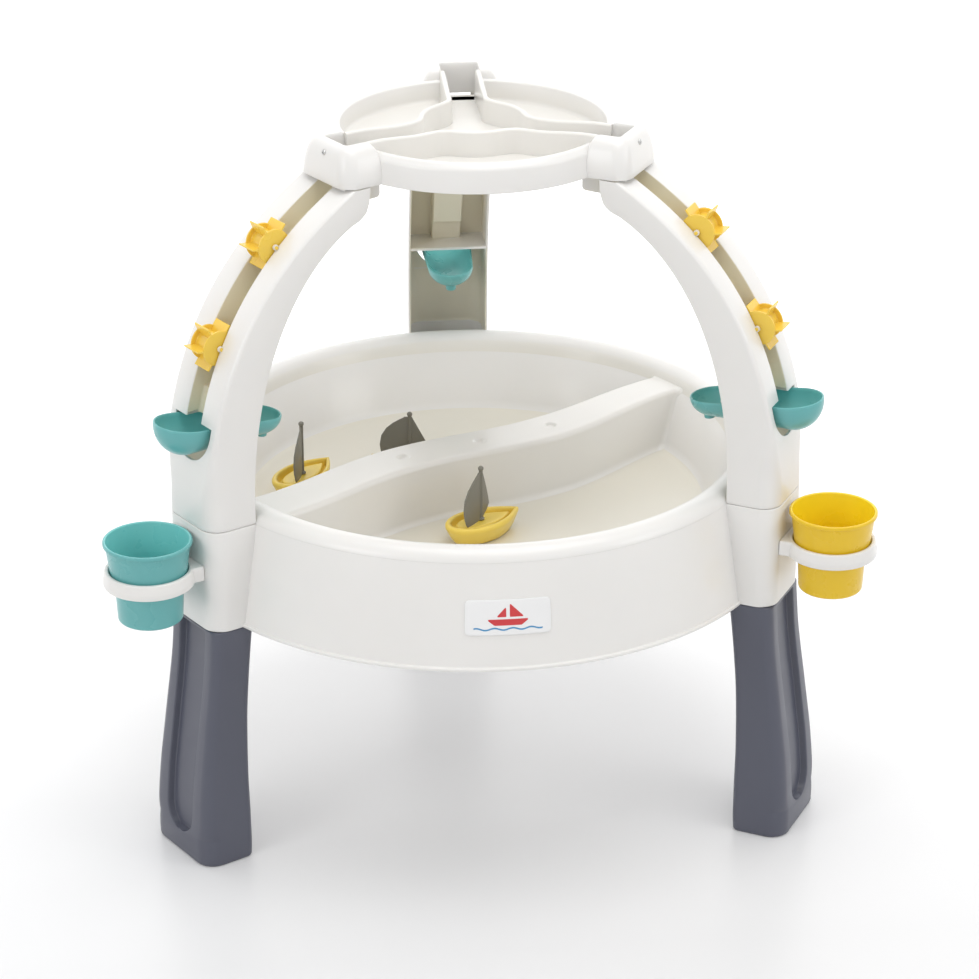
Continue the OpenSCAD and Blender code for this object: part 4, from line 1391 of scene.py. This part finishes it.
@dataclass
class CupHolder:
    """A ring on a column, and the cup that drops into it."""

    layout: Layout
    side: Side
    u: float = 445.0

    def ring(self, palette: Palette) -> None:
        """Make the ring, a turned section, with its pad against the column.

        Args:
            palette: the finishes.
        """
        section = fillet([(39.7, 352), (51.1, 352), (51.1, 359), (49.2, 370), (45, 370), (44, 367),
                          (44, 355.5), (39.7, 355.5)], [0.8, 1.8, 3, 1.9, 1.9, 1, 0.8, 0.8], steps=5)
        turned = revolve(section, 120, (self.u, 0.0))
        skin = Skin().grid(self.layout.arm(self.side, turned), rows=True, cols=True)
        a = np.radians(np.linspace(180 - 42, 180 + 42, 21))
        arc = np.stack([self.u + 47 * np.cos(a), 47 * np.sin(a)], -1)
        plan = np.vstack([[(393.5, -33)], [(393.5, 33)], arc])
        lip = [(1.2, 352.1), (0.3, 352.6), (0, 353.6), (0, 366.4), (0.3, 368.4), (1.4, 369.6)]
        rings = []
        for inset, z in lip:
            flat = plan * [1, (33 - inset) / 33]
            rings.append(np.column_stack([flat, np.full(len(flat), z)]))
        skin.solid(self.layout.arm(self.side, np.array(rings)))
        name = self.side.word
        publish(skin, f"cup_ring_{name}_moulding", f"cup_ring_{name}", palette.shell)

    def cup(self, palette: Palette) -> None:
        """Make the cup: a stepped beaker with a rolled rim, a turned section.

        Args:
            palette: the finishes.
        """
        section = fillet([(0, 308), (31.5, 308), (36.4, 309.5), (38.6, 355.8), (43.0, 356.4),
                          (43.5, 370), (47.2, 399.5), (49.9, 400.6), (49.9, 404.8), (46.6, 404.8),
                          (41.5, 370), (40.8, 358.4), (36.5, 357.6), (34.2, 312), (31, 310.4),
                          (0, 310.4)],
                         [0, 2, 4, 1, 1.6, 6, 1, 0.9, 1.7, 1.5, 6, 1.5, 1, 3, 1, 0], closed=False, steps=6)
        material = palette.teal if self.side is Side.LEFT else palette.yellow_cup
        inside = np.arange(len(section)) > int(section[:, 1].argmax())
        turned = revolve(section, 120, (self.u, 0.0))
        # painted light inside the cup
        skin = Skin().grid(self.layout.arm(self.side, turned), cols=True, wash=1.0 * inside[:, None])
        name = self.side.word
        publish(skin, f"cup_{name}_moulding", f"cup_{name}", material)

    def build(self, palette: Palette) -> None:
        """Make both."""
        self.ring(palette)
        self.cup(palette)


# ------------------------------------------------------------------ boats


@dataclass
class Boat:
    """A toy boat: a hull with a raised deck, and a mast with its sail."""

    layout: Layout
    word: str
    x: float
    y: float
    heading: float
    sail_heading: float
    length: float = 100.0
    width: float = 54.0
    base_z: float = 338.3
    height: float = 25.0
    mast_x: float = -4.0
    belly_r: float = 130.0

    def place(self, p: Array, heading: float, at: tuple[float, float] = (0.0, 0.0)) -> Array:
        """Turn points about an upright axis of the boat and set them on the floor.

        Args:
            p: points about that axis, with z from the boat's base.
            heading: the turn, in degrees.
            at: where the axis stands on the hull.

        Returns:
            The points in the frame.
        """
        a, b = math.radians(heading), math.radians(self.heading)
        cx = self.x + at[0] * math.cos(b) - at[1] * math.sin(b)
        cy = self.y + at[0] * math.sin(b) + at[1] * math.cos(b)
        x = cx + p[..., 0] * math.cos(a) - p[..., 1] * math.sin(a)
        y = cy + p[..., 0] * math.sin(a) + p[..., 1] * math.cos(a)
        return self.layout.world(np.stack([x, y, p[..., 2] + self.base_z], -1))

    def plan(self, inset: float) -> Array:
        """Draw the deck's outline: a round stern and two full curves to the bow.

        The half width is a power law of the share along the hull, with a square
        root of it astern.

        Args:
            inset: how far the outline is moved inwards.

        Returns:
            (80, 2) points.
        """
        length, width = self.length - 2 * inset, self.width - 1.75 * inset
        k = (1 - np.cos(np.linspace(0, np.pi, 41))) / 2
        stern = 1 - (np.clip(0.45 - k, 0, 1) / 0.45) ** 2.4
        bow = 1 - (np.clip(k - 0.45, 0, 1) / 0.55) ** 1.9
        half = width / 2 * np.where(k < 0.45, np.sqrt(np.clip(stern, 0, 1)), bow)
        x = -length / 2 + length * k
        return np.vstack([np.stack([x, half], -1), np.stack([x, -half], -1)[-2:0:-1]])

    def hull(self, palette: Palette) -> None:
        """Make the hull: rings from the keel out over the rim to the deck.

        Args:
            palette: the finishes.
        """
        h = self.height
        keel = [(20, 0.9), (16, 0.3), (13, 0.0), (11.6, 0.5), (10, 2.2), (7.2, 6), (3.8, 12)]
        rim = [(1.6, h - 8), (0.5, h - 6.5), (0, h - 4.5), (0.1, h - 2.4), (0.9, h - 0.9),
               (2.2, h - 0.1), (4.2, h), (5.8, h - 0.5), (6.7, h - 1.6)]
        gutter = [(7.2, h - 4), (7.8, h - 7.6), (8.8, h - 8.8), (10.4, h - 9.1), (12, h - 8.6)]
        deck = [(12.8, h - 7), (13.2, h - 4.8), (14, h - 3.6), (15.4, h - 3.1), (18, h - 3.0), (24, h - 3)]
        levels = keel + rim + gutter + deck
        rings = np.array([np.column_stack([self.plan(i), np.full(80, z)]) for i, z in levels])
        skin = Skin().solid(self.place(rings, self.heading))
        publish(skin, f"hull_{self.word}_moulding", f"boat_hull_{self.word}", palette.boat)

    def sail(self, palette: Palette) -> None:
        """Make the mast and a sail that curves round it.

        The sail is a grid between its left and right edges. Its belly is an arc
        about an upright axis, so a point s beside the mast stands s squared over
        twice the arc's radius behind it.

        Args:
            palette: the finishes.
        """
        foot = self.height - 2.8
        up = np.array([0, 2, 5, 9, 14, 24, 36, 46, 53, 58, 60.5], float)
        left = np.interp(up, [1, 5, 14, 24, 36, 46, 53, 59, 62],
                         [-29, -31.8, -34.6, -36, -34, -28, -20, -10, -2.6])
        z = np.linspace(1.2, 61.0, 46)
        left = np.interp(z, up, left)
        right = np.interp(z, [1, 9, 62], [0.5, 29, 2.0])
        share = np.linspace(0, 1, 31)[None, :]
        s = left[:, None] * (1 - share) + right[:, None] * share
        belly = s**2 / (2 * self.belly_r)
        q = []
        for off in (-0.8, 0.8):
            q.append(np.stack([s, belly + off, z[:, None] + foot + 0 * s], -1))
        loop = np.concatenate([q[0], q[1][:, ::-1]], 1)
        skin = Skin().solid(self.place(loop, self.sail_heading, (self.mast_x, 0.0)))
        mast = fillet([(0, -8.5), (2.6, -8.5), (2.6, 0.4), (4.5, 0.6), (4.2, 2.6), (2.5, 3.4),
                       (2.3, 61.6), (3.2, 63.4), (3.2, 65.6), (1.5, 67.1), (0, 67.1)],
                      [0, 0.4, 0.2, 0.6, 0.8, 1, 0.8, 1, 1.2, 1.5, 0], closed=False, steps=4)
        mast = revolve(mast + [0, foot], 32)
        skin.grid(self.place(mast, self.sail_heading, (self.mast_x, 0.0)), cols=True)
        publish(skin, f"sail_{self.word}_moulding", f"boat_sail_{self.word}", palette.sail, bevel=0.35)

    def build(self, palette: Palette) -> None:
        """Make both."""
        self.hull(palette)
        self.sail(palette)


# ------------------------------------------------------------------ label


@dataclass
class Label:
    """A rounded plate on the front wall with a plain picture of a boat."""

    tub: Tub
    middle: float = 270.4
    half_w: float = 47.6
    z0: float = 331.0
    z1: float = 371.0

    def bend(self, flat: Array, out: float) -> Array:
        """Lay flat points on the tub's wall: sideways becomes an angle about its axis.

        Args:
            flat: (n, 2) points, sideways and height.
            out: how far they stand off the wall.

        Returns:
            The points in the frame.
        """
        r = self.tub.wall_r(flat[:, 1]) + out
        a = math.radians(self.middle) + flat[:, 0] / 350.0
        return self.tub.layout.world(np.stack([r * np.cos(a), r * np.sin(a), flat[:, 1]], -1))

    def plate(self, skin: Skin, outline: Array, low: float, high: float, edge: float = 0.0) -> None:
        """Add a thin plate, its rings and fans scaled about the outline's middle.

        Args:
            skin: the skin that takes the patches.
            outline: (n, 2) points, sideways and height.
            low: how far its underside stands off the wall.
            high: how far its top stands off the wall.
            edge: how far the top is drawn in.
        """
        mid = outline.mean(0)
        fine = along(np.vstack([outline, outline[:1]]), np.linspace(0, 1, 181)[:-1])
        size = np.abs(fine - mid).max(0)
        top = mid + (fine - mid) * (1 - edge / size)
        rings = [self.bend(fine, low), self.bend(fine, high - edge * 0.6), self.bend(top, high)]
        skin.grid(np.array(rings), cols=True)
        for flat, out in ((top, high), (fine, low)):
            fan = [self.bend(mid + (flat - mid) * k, out) for k in np.linspace(1, 0, 12)]
            skin.grid(np.array(fan), cols=True)

    def build(self, palette: Palette) -> None:
        """Make the plate and its print; the wave's crest is a sine.

        Args:
            palette: the finishes.
        """
        w, a, b = self.half_w, self.z0, self.z1
        skin = Skin()
        self.plate(skin, fillet([(-w, a), (w, a), (w, b), (-w, b)], [5] * 4, steps=6), 0.2, 1.1, 0.4)
        publish(skin, "label_film", "label_plate", palette.film)
        red, blue = Skin(), Skin()
        low, high = 1.12, 1.22
        hull = fillet([(-24, 349), (-15, 342), (15, 342), (24, 349)], [1, 3, 3, 1], steps=4)
        self.plate(red, hull, low, high)
        self.plate(red, fillet([(2, 351.5), (18, 351.5), (2, 367)], [0.8] * 3, steps=3), low, high)
        self.plate(red, fillet([(-2, 351.5), (-2, 363), (-13, 351.5)], [0.8] * 3, steps=3), low, high)
        x = np.linspace(-38, 38, 60)
        crest = 338 + 1.1 * np.sin(x / 3.2)
        wave = np.vstack([np.stack([x, crest + 0.9], -1), np.stack([x, crest - 0.9], -1)[::-1]])
        blue.solid(np.array([self.bend(wave, out) for out in (low, high)]))
        publish(red, "label_boat_print", "label_plate", palette.ink_red, hides=False)
        publish(blue, "label_wave_print", "label_plate", palette.ink_blue, hides=False)


# ------------------------------------------------------------------ fixings


@dataclass
class Screws:
    """Pan-head screws with a cross recess, all of one group."""

    layout: Layout
    node: str
    u: float
    z: float
    spread: float
    length: float
    inward: bool

    def build(self, palette: Palette) -> None:
        """Make every screw of the group.

        A head is a polar grid: its height is a dome, less a cross-shaped dip
        where either side coordinate is small.

        Args:
            palette: the finishes.
        """
        a = np.linspace(0, 2 * np.pi, 48, endpoint=False)
        r = np.r_[0.01, np.linspace(0.3, 3.0, 12), 3.4, 3.6][:, None]
        x, y = r * np.cos(a), r * np.sin(a)
        arm_shape = (1 - ease(np.minimum(np.abs(x), np.abs(y)), 0.35, 0.6)) * (1 - ease(r, 1.8, 2.3))
        dome = 2.0 * np.sqrt(np.clip(1 - (r / 3.65) ** 2, 0, 1)) ** 0.7 - 1.1 * arm_shape
        top = np.stack([x, y, dome], -1)
        shank = np.array([(3.6, 0.0), (1.95, 0.0), (1.95, -self.length + 3), (0.4, -self.length)])
        stem = revolve(shank, 48)
        local = np.concatenate([top, stem], 0)
        skin = Skin()
        way = 1.0 if self.inward else -1.0
        places = (-self.spread, self.spread) if self.spread else (0.0,)
        for side in Side:
            for v in places:
                u = self.u + way * local[..., 2]
                across = v + way * local[..., 0]
                skin.solid(self.layout.arm(side, np.stack([u, across, self.z + local[..., 1]], -1)))
        publish(skin, f"{self.node}_turned", self.node, palette.steel)


# ------------------------------------------------------------------ studio


@dataclass
class Studio:
    """Pale sweep, soft lights and the camera."""

    layout: Layout

    def sweep(self) -> None:
        """Make the floor, which curves up in a quarter circle, and its pale finish."""
        y = np.r_[np.linspace(-9.0, 3.0, 8), 3.0 + 2.5 * np.sin(np.linspace(0.1, np.pi / 2, 14)), 5.5]
        z = np.r_[np.zeros(8), 2.5 - 2.5 * np.cos(np.linspace(0.1, np.pi / 2, 14)), 9.0]
        x = np.linspace(-12.0, 12.0, 9)
        p = np.stack([x[None, :] + 0 * y[:, None], y[:, None] + 0 * x, z[:, None] + 0 * x], -1)
        mesh = bpy.data.meshes.new("studio_sweep")
        n = np.arange(p.shape[0] * p.shape[1]).reshape(p.shape[:2])
        quads = np.stack([n[:-1, :-1], n[:-1, 1:], n[1:, 1:], n[1:, :-1]], -1).reshape(-1, 4)
        mesh.from_pydata(p.reshape(-1, 3).tolist(), [], quads.tolist())
        mesh.polygons.foreach_set("use_smooth", np.ones(len(mesh.polygons), bool))
        mat = bpy.data.materials.new("studio_paper")
        mat.use_nodes = True
        shader = mat.node_tree.nodes["Principled BSDF"]
        shader.label = "pale gloss paper"
        shader.inputs["Base Color"].default_value = (0.80, 0.80, 0.805, 1)
        shader.inputs["Emission Color"].default_value = (1.0, 1.0, 1.0, 1)
        shader.inputs["Roughness"].default_value = 0.3
        light = mat.node_tree.nodes.new("NodeFrame")
        light.label = "light on the paper"
        where = mat.node_tree.nodes.new("ShaderNodeTexCoord")
        where.label = "place on the paper"
        where.location = (-900, -200)
        where.parent = light
        apart = mat.node_tree.nodes.new("ShaderNodeSeparateXYZ")
        apart.label = "distance back"
        apart.location = (-680, -200)
        apart.parent = light
        # painted light: the paper glows, from none in front to most on the backdrop
        lift = mat.node_tree.nodes.new("ShaderNodeMapRange")
        lift.label = "brighter paper behind"
        lift.location = (-420, -200)
        lift.parent = light
        lift.inputs["From Min"].default_value = -0.5
        lift.inputs["From Max"].default_value = 2.0
        lift.inputs["To Min"].default_value = 0.0
        lift.inputs["To Max"].default_value = 0.6
        links = mat.node_tree.links
        links.new(where.outputs["Object"], apart.inputs["Vector"])
        links.new(apart.outputs["Y"], lift.inputs["Value"])
        links.new(lift.outputs["Result"], shader.inputs["Emission Strength"])
        mesh.materials.append(mat)
        sweep = bpy.data.objects.new("studio_sweep", mesh)
        bpy.context.scene.collection.objects.link(sweep)

    def lamp(self, name: str, at: tuple[float, float, float], size: float, watts: float) -> None:
        """Add a square soft light that faces the table.

        Args:
            name: its name.
            at: where it hangs, in metres.
            size: its side.
            watts: its power.
        """
        data = bpy.data.lights.new(name, "AREA")
        data.shape, data.size, data.energy = "SQUARE", size, watts
        lamp = bpy.data.objects.new(name, data)
        way = Vector((0.0, 0.0, 0.45)) - Vector(at)
        lamp.matrix_world = Matrix.Translation(at) @ way.to_track_quat("-Z", "Y").to_matrix().to_4x4()
        bpy.context.scene.collection.objects.link(lamp)

    def lights(self) -> None:
        """Bright surroundings, a large top light and two side lights."""
        world = bpy.data.worlds.new("studio_world")
        bpy.context.scene.world = world
        world.use_nodes = True
        back = world.node_tree.nodes["Background"]
        back.label = "bright room"
        back.inputs["Color"].default_value = (1.0, 1.0, 1.0, 1)
        back.inputs["Strength"].default_value = 0.78
        self.lamp("top_soft", (0.3, -0.4, 3.2), 2.2, 32)
        self.lamp("left_soft", (-2.8, -2.2, 2.0), 1.4, 19)
        self.lamp("right_soft", (2.8, -1.6, 1.8), 1.2, 11)

    def camera(self) -> None:
        """The camera, in front and above, with a long lens."""
        data = bpy.data.cameras.new("view")
        data.sensor_width, data.lens = 36.0, 120.2
        data.clip_end = 60.0
        cam = bpy.data.objects.new("view", data)
        at = self.layout.world(np.array([-346.4, -3520.1, 1934.8])) * 0.001
        way = Vector((0.094, 0.9076, -0.4093))
        cam.matrix_world = Matrix.Translation(at) @ way.to_track_quat("-Z", "Y").to_matrix().to_4x4()
        bpy.context.scene.collection.objects.link(cam)
        bpy.context.scene.camera = cam

    def build(self) -> None:
        """Set everything up."""
        bpy.context.scene.view_settings.view_transform = "Standard"
        self.sweep()
        self.lights()
        self.camera()


def dress_pins(palette: Palette) -> None:
    """Give the pins of the wheels the same finish as the wheels.

    Args:
        palette: the finishes.
    """
    for side in Side:
        for spot in Spot:
            node = frame["nodes"][f"axle_{side.word}_{spot.name.lower()}"]
            for slot in node.material_slots:
                slot.material = palette.wheel


def main() -> None:
    """Build the studio and every piece of the table, in order."""
    logging.basicConfig(level=logging.INFO)
    layout = make_layout()
    Studio(layout).build()
    palette = make_palette()
    tub = Tub(layout)
    tub.build(palette)
    Label(tub).build(palette)
    for side in Side:
        Leg(layout, side).build(palette)
        arch = Arch(layout, side)
        arch.build(palette)
        Bowl(layout, side).build(palette)
        for spot in Spot:
            Wheel(arch, spot).build(palette)
    Tray(layout).build(palette)
    for side in (Side.LEFT, Side.RIGHT):
        CupHolder(layout, side).build(palette)
    Boat(layout, "front", 0, -110, 30, 60).build(palette)
    Boat(layout, "middle", -75, 58, 147, -3).build(palette)
    Boat(layout, "left", -199, 43, 50, 80).build(palette)
    Screws(layout, "leg_screws", 334, 322, 22, 14, False).build(palette)
    Screws(layout, "arch_screws", 334, 399, 20, 14, False).build(palette)
    Screws(layout, "tray_screws", 201.4, 806, 0, 10, True).build(palette)
    dress_pins(palette)


if __name__ == "__main__":
    main()
